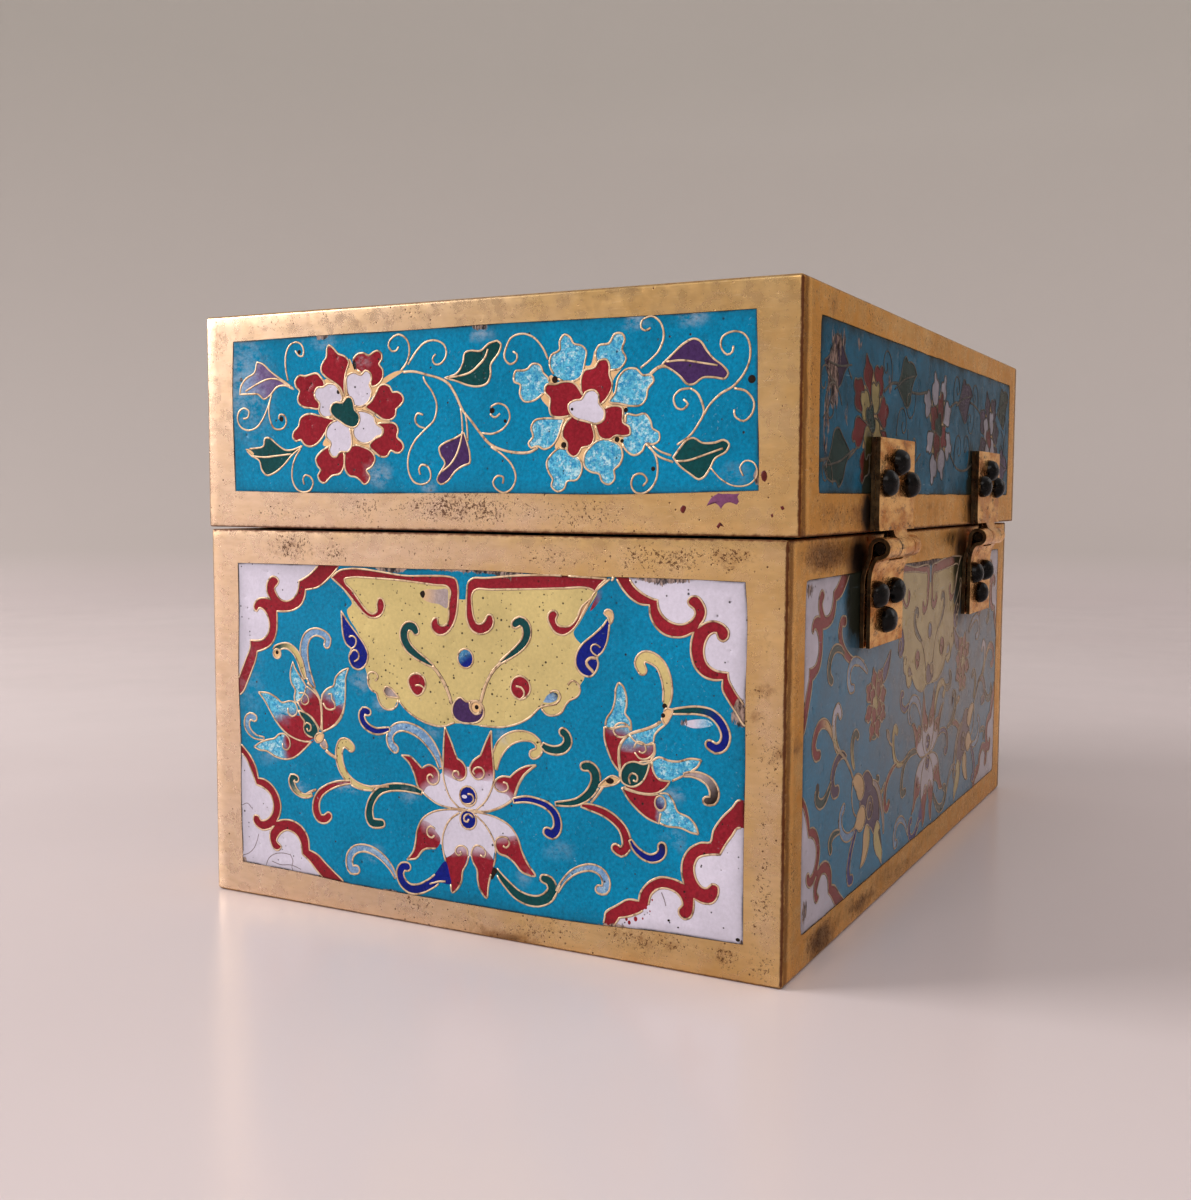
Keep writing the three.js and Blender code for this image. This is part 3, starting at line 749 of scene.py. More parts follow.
def lappet(p):
    """The lappet: yellow enamel, with no wire where it meets the turquoise at its sides."""
    p.area(
        "yellow",
        "-22 20.8, -12 20.9, -2.5 20.8, -1.7 18.8, -0.8 18.6, 0.2 18.8, 0.6 20.3, 10 20.9, 19.6 20.6,"
        "18.4 18.4, 17 16.2, 16.2 15, 16.6 14.2, 17.4 13.4, 17 11, 17.8 9.3, 17.2 8.3, 17.2 7.4, 16.6 6.6,"
        "15.2 5.9, 14.6 4.8, 13.4 4.1, 12 4.2, 11.3 5, 9.8 3.6, 8 2.6, 5.4 1.9, 2 1.8, -1.8 1.8, -4 1.3,"
        "-6.2 1.3, -8.4 2, -10.4 3.2, -11.4 4.1, -12.2 3, -13.4 2.8, -14.4 3.6, -14.9 4.9, -16 5.3,"
        "-16.6 6.4, -16.6 7.4, -16.9 8.4, -17 10.5, -18.2 13.4, -19.6 15.2, -20 16.4, -19.1 17.3, -20.4 19",
        wired=False,
    )
    p.wire("-16.3 6.7, -16.5 7.4, -15.9 7.9, -15.1 7.8, -14.7 7.2, -15.2 6.7")
    p.wire(
        "-16.5 7.2, -16.4 6.1, -15.8 5.3, -15 5, -14.7 4.1, -14.1 3.2, -13.2 2.8, -12.1 3, -11.4 3.7, "
        "-11.4 4.3",
    )
    p.wire("-11.2 4.2, -10.2 3.2, -8.4 2.1, -6.3 1.4, -4 1.2, -2 1.9")
    p.wire(
        "15.4 8.2, 16 8.8, 16.8 8.5, 17.2 7.6, 16.8 6.8, 15.7 6.2, 15 5.5, 14.6 4.7, 13.5 4.1, 12.3 4.1, "
        "11.5 4.8",
    )
    p.wire(
        "2 1.8, 5.5 1.9, 8 2.6, 9.8 3.6, 11.2 4.9, 12.3 5.3, 13.6 5.6, 14.3 6.5, 13.9 7.3, 13 7.2, "
        "12.2 6.4, 11.5 5.2",
    )
    p.area(
        "grey",
        "-13.8 5.4, -13.4 6, -12.6 5.9, -11.8 5.2, -11.1 4.6 / -12.2 4.6, -13.3 4.7",
        fade=("black", -12.6, 5.3, -14, 5.5),
    )
    p.area(
        "lilac",
        "11.7 5.7, 12.4 6.7, 13.2 7.1, 13.9 6.9, 13.8 6.2, 12.8 5.7 /",
        wired=False,
        fade=("black", 12.7, 6.5, 13.4, 7.3),
    )

    # The red bands along its top, each ending in curls.
    p.area(
        "red",
        "-22.7 20.9, -21.2 21.9, -19.4 22.2, -17 22.2, -14 21.9, -10 21.5, -6 21.6, -3 21.6, -1.8 21.3,"
        "-1.4 20.3, -1.4 18.5, -1.7 16.4, -2.4 14.8, -3.5 13.8, -4.7 13.7, -5.6 14.4, -5.7 15.3, -5.2 15.9,"
        "-4.7 15.9, -4.6 15.2, -4 14.9, -3.2 15.2, -2.9 16.2, -2.9 18, -2.6 19.6, -3.2 20.3, -5 20.4,"
        "-10 20.8, -15 21, -19.2 21, -20.4 20.7, -20.2 20.1, -19.2 19.3, -17.6 17.5, -16.5 16.4, -15.5 16,"
        "-14.8 16.4, -14.8 17.4, -14.5 18.2, -13.9 18.2, -13.5 17.4, -13.8 16.3, -14.7 15.6, -15.9 15.5,"
        "-17 16, -18.6 17.5, -20.4 19.2 /",
    )
    p.area(
        "red",
        "21 22.1, 18 22.2, 14 22.3, 8 22.1, 3 21.6, 1 21.5, 0.2 20.9, 0 19.6, -0.1 17.4, 0 15.9, 0.7 14.6,"
        "1.8 14.1, 3 14.3, 3.9 15, 4.2 15.9, 3.9 16.7, 3.3 16.7, 2.8 15.9, 2.3 15.5, 1.6 15.5, 1.1 16.3,"
        "0.8 18, 0.8 19.3, 1.4 20, 4 20.1, 10 20.4, 15 20.7, 17.6 20.9, 18.8 20.7, 19.3 20.4 / 19.9 21.2 /",
    )
    p.area(
        "red",
        "18.9 19.6, 17.8 18, 16.9 16.4, 15.9 15.2, 14.7 14.6, 13.5 14.9, 12.7 15.9, 12.4 16.9, 12.8 17.6,"
        "13.5 17.7, 13.9 17.2, 13.6 16.6, 13.9 15.9, 14.7 15.7, 15.8 15.9, 16.7 16.9, 17.4 18.4 /",
        fade=("gold", 16.4, 17, 18, 19),
    )
    p.wire("21.4 22.1, 19.2 20.2, 18.2 18.4, 16.9 16.4")
    p.wire("21.2 22.4, 22 22.2, 21.6 21.9")
    p.area(
        "red",
        "19.6 20.1, 20.8 21.5, 20.4 20, 19.6 18.8, 18.6 17.9 /",
        wired=False,
        fade=("turquoise", 19, 19, 20.6, 19.4),
    )

    # Green commas, and the double wires that run on from them to the bud.
    p.stroke(
        "green",
        "-8.3 14 1, -8.7 14.5 1.2, -9.6 14.6 1.1, -10.2 13.9 1.2, -10.2 12.9 1.2, -9.6 11.8 1.15, "
        "-8.3 10.8 0.95, -6.8 10 0.7, -5.4 9.3 0.2",
    )
    p.wire("-5.6 9.4, -4.6 8.4, -3.6 7, -2.9 5.6, -2.5 4.4", 0.55)
    p.stroke(
        "green",
        "7.5 15.7 1, 8.2 16.1 1.15, 9 15.7 1.2, 9.3 14.7 1.15, 9 13.6 1.05, 8 12.5 0.9, 6.7 11.5 0.65, "
        "5.1 10.4 0.2",
    )
    p.wire("5.3 10.5, 4.1 9.3, 3.1 7.7, 2.5 6.2, 2.1 4.9", 0.5)

    # Roundels, drops and the purple bud.
    p.dot("navy", -0.25, 10.7, 1.25, squash=1.05, fade=("sky", 0, 10.4, -1.6, 12.8))
    p.area("red", "-9.6 7.1, -9.1 7.9, -8 8.2, -7 7.7, -6.7 6.7, -7.2 5.6, -8.1 5.1, -9 5.7")
    p.wire("-8.4 6.5, -7.7 6.6, -7 6.2, -7.3 5.5")
    p.area("red", "6.8 7.4, 7.3 8.5, 8.4 8.9, 9.5 8.3, 9.8 7.1, 9.1 6.1, 8.1 5.8, 7.1 6.4")
    p.wire("7.6 7.5, 8.4 7.4, 8.9 6.7, 8.6 6, 8.2 5.8")
    p.area(
        "purple",
        "-2.4 3.4, -2.1 4.6, -1.1 5.4, -0.2 4.9, 0.6 5, 1.7 5.1, 2.5 4.4, 2.6 3.3, 1.9 2.4, 0.6 2, -1 2, "
        "-2 2.5",
    )
    p.dot("gold", 1.4, 4.2, 0.85)
    p.dot("black", 1.5, 4.25, 0.32, wired=False)
    p.wire("0.4 4.9, 0.5 4, 1.3 3.3, 2.2 3.6")

    # Navy drops at the sides of the lappet.
    p.area(
        "navy",
        "-21 16.2, -20 14.9, -18.4 13.2, -17 11.6, -16.4 10.3, -16.8 8.9, -17.9 8.1, -19.1 8.4, "
        "-19.7 9.4, -19.6 10.3, -19.3 10.9, -20.2 11.6, -20.7 12.7, -20.9 14.2 /",
    )
    p.wire("-19.7 12.6, -19.1 12.8, -18.5 12.4, -18.5 11.7, -19 11.1, -19.5 11")
    p.wire("-19.5 10.1, -19.1 10.7, -18.5 10.8, -18 10.3, -18.1 9.6, -18.8 9.2")
    p.area(
        "navy",
        "21.4 17.6, 20.6 16.3, 19.1 14.9, 17.4 13.5, 16.6 12.1, 16.6 10.7, 17.5 9.7, 18.7 9.5, 19.5 10.3, "
        "19.8 11.3, 19.6 12, 20.4 12.8, 21 14, 21.3 15.6 /",
    )
    p.wire("20.1 13.3, 19.4 13.7, 18.8 13.4, 18.8 12.8, 19.4 12.3, 19.8 12.1")
    p.wire("19.5 11.9, 18.7 11.9, 18.1 11.4, 18.3 10.8, 18.9 10.3, 19.1 10", 0.42)
    p.area("gold", "20.6 17.7, 21 18.2, 21.7 18, 21.9 17.2, 21.5 16.4, 21.1 17.3")


def lotus(p):
    """The lotus, with the scrolls above and beside it."""
    p.stroke(
        "yellow",
        "10.3 -1.3 1.1, 11 -0.9 1, 11.1 0 0.8, 10.2 0.8 0.9, 8.6 1 1.2, 7 0.6 1.4, 5.6 -0.4 1.5, "
        "4.7 -1.9 1.2, 4.3 -3.9 0.5",
    )
    p.stroke(
        "green",
        "14.7 2 1, 15.2 1.6 1, 15.4 0.8 1.1, 14.8 -0.1 1.1, 13.5 -0.5 1, 12.2 -0.3 0.9, 11.6 0.1 0.6",
    )
    p.stroke(
        "lilac",
        "-11.9 -2.6 1, -12.5 -2.1 1, -12.8 -1.1 0.9, -12.2 0 1, -10.9 0.6 1.1, -9.2 0.5 1.2, "
        "-7.4 -0.2 1.3, -6 -1.4 1.2, -4.9 -2.9 0.9, -4.3 -4.6 0.4",
    )
    p.stroke(
        "navy",
        "-16.5 2.2 0.9, -17.2 2.3 1, -17.6 1.6 0.9, -17.2 0.6 0.9, -16.2 -0.1 0.85, -15 -0.4 0.8, "
        "-13.8 -0.2 0.7, -12.8 0.1 0.4",
    )

    # The lotus: white petals with red tips, each tip with a curl of wire.
    p.area(
        "white",
        "-1.2 -9.8, -3 -9.9, -5.2 -9.5, -7.2 -8.2 / -7.9 -7.4, -6.5 -6.2, -4.6 -5.6, -4 -5 / -3.9 -3.5, "
        "-2 -3.2, 0 -4, 2 -3.2, 4 -4 / 4.4 -5.4, 6 -5.6, 7.4 -6.8 / 6.8 -8, 5 -9.1, 3 -9.8, 1.2 -9.8 /",
        wired=False,
    )
    p.area(
        "white",
        "-1.2 -10.1, -3.4 -10.2, -5.6 -10.8, -7.4 -12, -8.3 -13.8 / -6 -14.4, -4.2 -15.2 / -3.8 -16.2, "
        "-3.3 -17 / -1.6 -16.6, 0.2 -16.2, 2 -16.2, 4 -16.4 / 4.3 -15, 5 -14.4, 6.6 -13.6, 8 -12.8 / "
        "6.8 -11.3, 5 -10.5, 3 -10.1 /",
        wired=False,
    )
    p.area(
        "red",
        "-3.6 1.2, -2.6 -0.8, -1.9 -2.4, -1.2 -3.2, -0.4 -3.8, -0.2 -4.7, -0.7 -5.6, -1.6 -6, -2.6 -5.8, "
        "-3.9 -5.3 / -3.8 -2.6 /",
        wired=False,
        fade=("white", -2.4, -4.9, -2.8, -6.2),
    )
    p.area(
        "red",
        "3.8 1.3, 2.9 -0.4, 2.1 -2.2, 1.1 -3.1, 0.5 -4, 0.6 -4.9, 1.4 -5.4, 2.6 -5.6, 4.2 -5.6 / "
        "4.1 -2.6 /",
        wired=False,
        fade=("white", 2.4, -4.6, 2.8, -6),
    )
    p.area(
        "red",
        "-10.8 -3.4, -9.4 -3.5, -8.2 -4.2, -7.3 -4.9, -6.3 -4.5, -5.2 -4.6, -4.6 -5.5, -4.8 -6.5, "
        "-5.6 -7, -6.6 -7.4, -7.3 -8.2, -8 -7.6, -8.6 -6.2, -9.5 -4.5 /",
        wired=False,
        fade=("white", -6.8, -6.6, -5.6, -8.2),
    )
    p.area(
        "red",
        "10.7 -2.7, 9.2 -3, 7.7 -3.8, 6.7 -4.7, 5.7 -4.8, 4.7 -5.3, 4.3 -6.1, 5 -6.8, 6.4 -7.2, 7 -7.8, "
        "7.4 -7.2, 7.9 -5.8, 8.8 -4.3 /",
        wired=False,
        fade=("white", 6.6, -6.4, 5.9, -7.8),
    )
    p.area(
        "red",
        "-10 -18, -8.9 -16.6, -8.5 -15, -8.2 -13.6, -7.4 -12.2, -6.2 -12.4, -5.2 -13.4, -4.4 -14.4, "
        "-5 -15.7, -6.6 -16, -7.6 -16.6, -8.3 -17.6 /",
        wired=False,
        fade=("white", -6.5, -13.8, -5.6, -12),
    )
    p.area(
        "red",
        "10.6 -17.5, 9.4 -16, 8.5 -14.4, 7.7 -12.5, 6.6 -12.7, 5 -12.8, 4.4 -13.9, 4.9 -15.2, 6.3 -15.5, "
        "7.4 -16.2, 8.6 -17.3 /",
        wired=False,
        fade=("white", 6.4, -13.6, 6, -12.1),
    )
    p.area(
        "red",
        "-2.5 -21.6, -2.8 -20, -3.1 -18.5, -3.7 -17 / -2.4 -16.2, -1.2 -14.8, -0.3 -15.1, 0 -16.1, "
        "-0.4 -17.4, -0.8 -18.6, -1 -19.8, -1.7 -21 /",
        wired=False,
        fade=("white", -2.4, -16.6, -2.6, -14.8),
    )
    p.area(
        "red",
        "3 -21.6, 2 -20.6, 1.6 -19.3, 1.5 -17.9, 0.9 -16.9, 0.7 -15.6, 1.4 -14.6, 2.6 -14.8, 3.6 -15.6, "
        "4.3 -16.4 / 3.8 -18, 3.3 -19.7 /",
        wired=False,
        fade=("white", 2.6, -16.2, 2.6, -14.4),
    )
    p.wire("-3.6 1.2, -3.8 -1, -3.9 -3.5, -3.9 -5.6, -3.6 -6.8, -2.8 -8.5, -1.3 -9.8")
    p.wire(
        "-3.6 1.2, -2.6 -0.8, -1.9 -2.4, -1.6 -3 / -0.8 -3.4, -0.2 -4.3, -0.3 -5.3, -1 -5.9, -1.9 -5.8, "
        "-2.4 -5.3, -2.1 -4.8, -1.5 -4.8, -1.4 -5.3",
    )
    p.wire("3.8 1.3, 3.9 -1, 4.1 -3, 4.2 -5, 3.9 -6.4, 2.9 -8.3, 1.3 -9.8")
    p.wire(
        "3.8 1.3, 2.9 -0.4, 2.1 -2.2 / 1 -3, 0.4 -4, 0.6 -4.8, 1.4 -5.5, 2.3 -5.3, 2.7 -4.6, 2.2 -3.9, "
        "1.3 -4, 0.9 -4.5, 1.2 -4.9",
    )
    p.wire(
        "-10.8 -3.4, -9.4 -3.4, -8.2 -4.2, -7.4 -4.9 / -6.3 -4.3, -5.2 -4.6, -4.6 -5.5, -4.8 -6.6, "
        "-5.6 -7, -6.4 -6.6, -6.5 -5.9, -5.9 -5.6, -5.5 -6",
    )
    p.wire("-10.8 -3.4, -9.5 -4.4, -8.6 -6, -8 -7.6, -6.6 -8.7, -4.8 -9.6, -2.6 -9.9, 0 -9.9")
    p.wire(
        "10.7 -2.7, 9.2 -3, 7.7 -3.8, 6.7 -4.7 / 5.6 -4.7, 4.6 -5.2, 4.2 -6, 4.7 -6.7, 5.7 -6.8, "
        "6.4 -6.3, 6.2 -5.6, 5.6 -5.5",
    )
    p.wire("10.7 -2.7, 9.9 -3.3, 8.8 -4.3, 7.9 -5.8, 7.2 -7.5, 6 -8.5, 4.4 -9.3, 2.8 -9.8, 0 -9.9", 0.38)
    p.wire("-10 -18, -8.9 -16.6, -8.5 -15, -8.3 -13.7, -7.4 -12, -5.9 -10.9, -4 -10.3, -1.6 -10, 0 -10")
    p.wire("-10 -18, -8.4 -17.6, -7.6 -16.6, -6.9 -16.1, -5.2 -15.8")
    p.wire("-5.3 -13.1, -6 -12.8, -6.6 -13.3, -6.5 -14.1, -5.8 -14.4, -5.4 -14")
    p.wire(
        "-1.3 -10.4, -2.8 -11.5, -3.8 -13.2, -4.1 -15, -3.7 -17, -3.1 -18.5, -2.8 -20, -2.5 -21.6, "
        "-1.7 -21, -1 -19.8, -0.8 -18.4, -0.1 -17.2, 0.2 -16.2",
    )
    p.wire("0 -16.2, -0.1 -15.3, -0.8 -14.9, -1.6 -15.1, -2 -15.8, -1.5 -16.3, -1 -16, -1.2 -15.7")
    p.wire(
        "1.3 -10.4, 2.8 -11.6, 3.9 -13.1, 4.4 -14.6, 4.3 -16.4, 3.7 -18.2, 3.3 -19.8, 3 -21.6, 2 -20.6, "
        "1.6 -19.3, 1.5 -17.9, 0.8 -16.8, 0.6 -15.6, 1.3 -14.6, 2.3 -14.7, 2.9 -15.4, 2.6 -16, 2 -15.8",
    )
    p.wire(
        "0 -10, 2.8 -10.1, 5 -10.5, 6.8 -11.4, 7.9 -12.8, 8.5 -14.4, 9.4 -16, 10.6 -17.5, 8.6 -17.3, "
        "7.4 -16.2, 6.3 -15.5, 5 -15.2, 4.4 -14.3, 4.6 -13.3, 5.4 -12.9, 6.3 -13, 6.6 -13.7, 6.1 -14.3, "
        "5.6 -14.1",
    )
    p.wire("-1.5 -9.95, 0 -9.95, 1.5 -9.95", 0.6)
    p.dot("navy", 0.1, -8, 1.35, squash=1.02)
    p.dot("white", -0.5, -8.1, 0.42, wired=False, squash=0.6)
    p.wire("0 -7.7, 0.7 -7.7, 1 -8.3, 0.6 -8.9, -0.1 -9.1, -0.9 -8.9, -1.2 -8.2")
    p.dot("navy", 0.1, -11.2, 1.3, squash=1.02)
    p.wire("0.9 -10.8, 0.2 -10.4, -0.5 -10.8, -0.5 -11.4, 0 -11.5, 0.2 -11.1")


def tendrils(p):
    """The tendrils that leave the lotus to both sides and below it."""
    p.stroke(
        "green",
        "-14.3 -13.4 1, -15 -13.5 1.1, -16 -13.4 1.2, -16.4 -12.5 1.2, -16.3 -11.2 1, -15.6 -9.8 0.95, "
        "-14.4 -8.7 0.9, -12.6 -8.1 0.9, -10.6 -7.9 0.9, -8.6 -8 0.8, -7.4 -8.3 0.5",
    )
    p.stroke(
        "yellow",
        "-19.5 -3.1 1.1, -20.2 -2.6 1.2, -21 -2.6 1.2, -21.6 -3.6 1, -21.6 -4.9 1, -21.2 -6.2 1, "
        "-20.3 -7.4 0.9, -19 -8.2 0.8, -17.4 -8.6 0.6, -15.6 -8.6 0.4",
    )
    p.wire("-16.2 -8.4, -14.8 -8.2, -13 -8", 0.4)
    p.stroke(
        "red",
        "-23.6 -13.4 1, -24.2 -13.9 1.1, -25.2 -13.9 1.1, -25.8 -13 1.15, -25.8 -11.6 1, -25.1 -10.3 0.9, "
        "-23.9 -9.4 0.8, -22.4 -8.7 0.65, -20.4 -8.2 0.4, -19.6 -8.1 0.3",
    )
    p.stroke(
        "green",
        "-29.5 -8.6 0.9, -30.2 -8.5 0.95, -30.2 -9.5 0.9, -29.5 -10.4 0.7, -28.4 -10.9 0.5, "
        "-27.4 -10.9 0.4, -26.6 -10.6 0.3",
        fade=("yellow", -29.9, -9.6, -28.6, -10.8),
    )
    p.wire("-27.6 -10.6, -26.8 -10.2, -25.8 -9.8", 0.4)
    p.wire("-25.4 -1.9, -24.5 -3.4, -23.4 -4.3, -22 -4.9", 0.5)
    p.area("grey", "-25.3 -2.5, -24.6 -2.1, -24 -2.7, -23.7 -3.5, -24.3 -3.7, -25 -3.2")

    # Tendrils from the lotus to the right.
    p.stroke(
        "navy",
        "12.4 -11.4 1.1, 13.1 -11.6 1.2, 13.8 -10.9 1.1, 13.9 -9.8 1, 13.4 -8.7 0.9, 12.3 -7.9 0.8, "
        "10.8 -7.5 0.7, 9.2 -7.4 0.7, 7.2 -7.8 0.5",
    )
    p.stroke(
        "green",
        "17.8 -2.2 1, 18.5 -2.1 1.1, 19.3 -2.7 1.2, 19.5 -3.8 1.2, 19.1 -4.9 1.15, 18.2 -6 1, "
        "16.8 -6.9 0.8, 15.2 -7.3 0.6, 13.6 -7.5 0.3",
    )
    p.stroke(
        "red",
        "22.4 -12.3 1, 23.2 -12.7 1.1, 23.9 -12 1.1, 23.9 -10.9 1.1, 23.3 -9.6 1, 22 -8.5 0.95, "
        "20.5 -7.8 0.9, 18.6 -7.4 0.7, 17.4 -7.3 0.3",
    )
    p.stroke(
        "navy",
        "28.9 -11.3 1, 28.9 -12 1, 28.3 -12.7 1, 27.2 -13 0.9, 26 -12.6 0.8, 25 -11.8 0.6, 24.5 -11 0.3",
        fade=("black", 28.4, -12, 29.2, -11),
    )
    p.wire("20.5 -4.6, 19.6 -5.9, 18.8 -6.8", 0.4)
    p.area("gold", "23.1 -3.4, 21.9 -3, 20.6 -3.8, 19.9 -4.6, 21.2 -4.4, 22.4 -4 /")
    p.dot("black", 21.5, -3.7, 0.6, wired=False, squash=0.65)

    # Strokes below the lotus.
    p.stroke(
        "navy",
        "-10 -19 1.1, -10.7 -19.1 1.1, -11.2 -20 1.1, -10.8 -21.2 1.15, -9.6 -22 1.2, -8.1 -21.9 1.2, "
        "-6.6 -21.2 1.2, -5.2 -20.2 1.2, -4.1 -18.8 0.9, -3.6 -17.6 0.4",
    )
    p.area("navy", "-5.4 -19.4, -3.6 -17.4, -2.9 -19.3, -2.7 -20.4, -4.4 -20.4 /", wired=False)
    p.wire("-6.2 -20.9, -4.8 -20.4, -3.6 -20.2")
    p.stroke(
        "lilac",
        "-18.8 -20.6 1.1, -19.6 -20.7 1.1, -20 -19.8 1, -19.8 -18.6 1, -18.9 -17.7 1, -17.5 -17.3 0.9, "
        "-15.8 -17.5 0.9, -14 -18.4 0.8, -12.6 -19.7 0.55, -11.9 -20.8 0.3",
    )
    p.stroke(
        "green",
        "11.9 -17.7 1, 12.7 -17.9 1.2, 13.2 -18.9 1.3, 12.6 -20 1.35, 11.2 -20.8 1.3, 9.5 -20.9 1.3, "
        "7.8 -20.4 1.2, 6.4 -19.4 1, 5.2 -18.3 0.7, 4.5 -17.4 0.3",
    )
    p.area("black", "3.6 -18.7, 4.1 -17.2, 4.7 -17.5, 4.3 -18.4, 3.8 -19 /", wired=False)
    p.stroke(
        "lilac",
        "20.1 -18 1, 20.8 -18 1, 21.1 -17 1, 20.6 -15.9 0.9, 19.3 -15.3 0.8, 17.8 -15.5 0.7, "
        "16.2 -16.3 0.6, 14.8 -17.7 0.4, 13.9 -19.1 0.3",
        fade=("turquoise", 17, -16, 13, -19),
    )
    p.wire("13.2 -20.4, 13.9 -19.2, 14.3 -18.2")


def bud_left(p):
    """The bud at the left: four petals, red with pale tips, on a green calyx."""
    p.stroke(
        "lilac",
        "-23.6 11.3 0.9, -23.4 12.1 0.9, -24.3 12.8 0.9, -25.8 13 0.95, -27.1 12.3 1.1, -27.7 10.9 1.2, "
        "-27.7 9.2 1.2, -27.3 7.6 1, -26.7 6.2 0.8, -26 5 0.4",
    )
    p.stroke(
        "green",
        "-32.7 9.5 1, -32.9 10 1, -32 10.6 0.7, -30.6 10.7 0.75, -29.4 10 0.8, -28.6 8.9 0.8, "
        "-28.1 7.6 0.7, -27.6 6.2 0.3",
        fade=("yellow", -32.2, 10, -29.6, 10),
    )
    p.dot("gold", -32.7, 9.5, 0.7)
    p.dot("black", -32.7, 9.7, 0.3, wired=False)
    p.area(
        "red",
        "-29.5 3.4, -28.6 4.3, -27.7 5.1, -26.4 4.6, -25.2 3.6, -24.7 2.2, -24.6 0.4, -25 -1 / -26.4 0.6, "
        "-28.2 1.6 /",
        fade=("sky", -28, 2.4, -29.4, 4.4),
    )
    p.area(
        "sky",
        "-29.8 8.5, -29.2 7.3, -28.3 6.3, -27.4 5.1 / -27.8 4, -28.4 3.2, -29.4 2.6, -29.6 3.4, "
        "-29.4 4.4, -30.1 5.4, -30.3 6.8 /",
    )
    p.wire("-28.8 4, -28 4.1, -27.2 3.7, -27 2.9, -27.6 2.4, -28.2 2.6, -28.3 3.1")
    p.area(
        "red",
        "-24.6 -1.3, -24.6 0.6, -24.7 2.4, -24.6 4 / -23.8 4.8, -22.9 5.2, -21.6 4.6, -20.5 3.2 / "
        "-21 1.4, -22.2 -0.1 /",
        fade=("sky", -22.6, 2.6, -21.8, 4.6),
    )
    p.area(
        "sky",
        "-19.8 8.2, -21 7.7, -22.1 6.7, -22.5 5.4 / -23.4 4.9, -22.6 4.4, -22.2 3.4, -22.3 2.6, "
        "-21.4 2.9, -20.5 3.4 / -20.4 5.6, -20.3 7.2 /",
        wired=False,
    )
    p.wire("-19.8 8.2, -21 7.7, -22.1 6.7, -22.5 5.5, -23.6 5, -24.4 4.2, -24.7 3.2")
    p.wire("-19.8 8.2, -20.3 6.9, -20.4 5, -20.6 2.9, -21.4 1, -22.8 -0.4, -24.7 -1.4")
    p.wire("-23.5 4.2, -22.9 4.3, -22.8 3.5, -22.3 3, -22.3 2.3, -23.1 2, -23.9 2.2, -24.4 2.9")
    p.area(
        "red",
        "-35.4 2.6, -33.6 1.4, -31.4 0.6, -29.6 0.7, -28.4 0.6, -26.8 -0.6, -25.6 -2.2 / -27.6 -2.9, "
        "-29.6 -2.7, -31.6 -1.8, -33 -0.4, -34.2 1.2 /",
        wired=False,
        fade=("sky", -31.6, -0.4, -32.6, 1.6),
    )
    p.area(
        "sky",
        "-36.3 3.6, -34.4 3.6, -32.9 3, -31.9 2.4, -30.6 2.7, -29.6 2.6, -29.1 1.8, -29.3 0.8, -30.4 0.5, "
        "-31.8 0.9, -33.4 0.2, -34.2 1.1, -35.2 2.5 /",
        wired=False,
        fade=("red", -32.5, 1.2, -32, -0.6),
    )
    p.wire(
        "-36.3 3.6, -34.4 3.6, -32.9 3, -31.9 2.4, -30.6 2.7, -29.6 2.6, -29.1 1.8, -29.3 0.9, -30.1 0.5, "
        "-30.8 1, -30.8 1.7",
    )
    p.wire("-36.3 3.6, -35.2 2.5, -34.2 1.1, -33 -0.5, -31.4 -1.9, -29.6 -2.7, -27.6 -3, -25.9 -2.7")
    p.area(
        "sky",
        "-37.3 -4.6, -36 -3.8, -34.6 -3.3, -33.4 -3, -32.5 -2.3, -31.4 -2.2, -30.6 -3, -30.6 -4, -31 -5 / "
        "-31.6 -5.9, -33.4 -5.7, -35.2 -5 /",
        wired=False,
    )
    p.area(
        "red",
        "-31.4 -2.2, -29 -2.9, -27 -3, -26 -2.6 / -27.6 -4, -29.2 -5.2, -30.8 -5.9, -32 -5.9 / "
        "-32.2 -4.6, -32 -3.3 /",
        wired=False,
        fade=("sky", -31, -4.4, -32.4, -4.6),
    )
    p.wire(
        "-37.3 -4.6, -36 -3.8, -34.6 -3.3, -33.4 -3, -32.5 -2.3, -31.5 -2.2, -30.7 -2.8, -30.5 -3.8, "
        "-31.1 -4.5, -31.8 -4.3, -31.9 -3.6",
    )
    p.wire("-37.3 -4.6, -36.2 -5, -35 -5, -33.2 -5.7, -31.2 -5.9, -29.6 -5.4, -28 -4.2, -26.6 -2.9")
    p.area(
        "green",
        "-28.9 1.5, -27.3 1.1, -26 0.1, -25.3 -1.1, -25.6 -2.1, -26.8 -2.2, -27.7 -1.7, -28 -0.9, "
        "-27.8 -0.1, -28.5 0.7 /",
    )
    p.wire("-27.9 -0.7, -27.4 -0.2, -26.7 -0.5, -26.7 -1.2, -27.2 -1.4, -27.4 -1")
    p.wire("-24.8 -1.9, -24.7 0, -24.7 2, -25.1 3.6, -26.2 5, -27.2 5.6", 0.4)
    p.area("gold", "-26 -2.3, -25.2 -1.5, -24.4 -1.7, -24.7 -2.6, -25.6 -2.9")
    p.stroke(
        "turquoise",
        "-37.2 -0.3 0.9, -37.9 -0.1 0.9, -38.5 -0.6 0.9, -38.6 -1.6 0.8, -38 -2.5 0.7, -36.9 -3.1 0.5, "
        "-35.4 -3.2 0.3",
        fade=("lilac", -36, -2, -38, 0),
    )


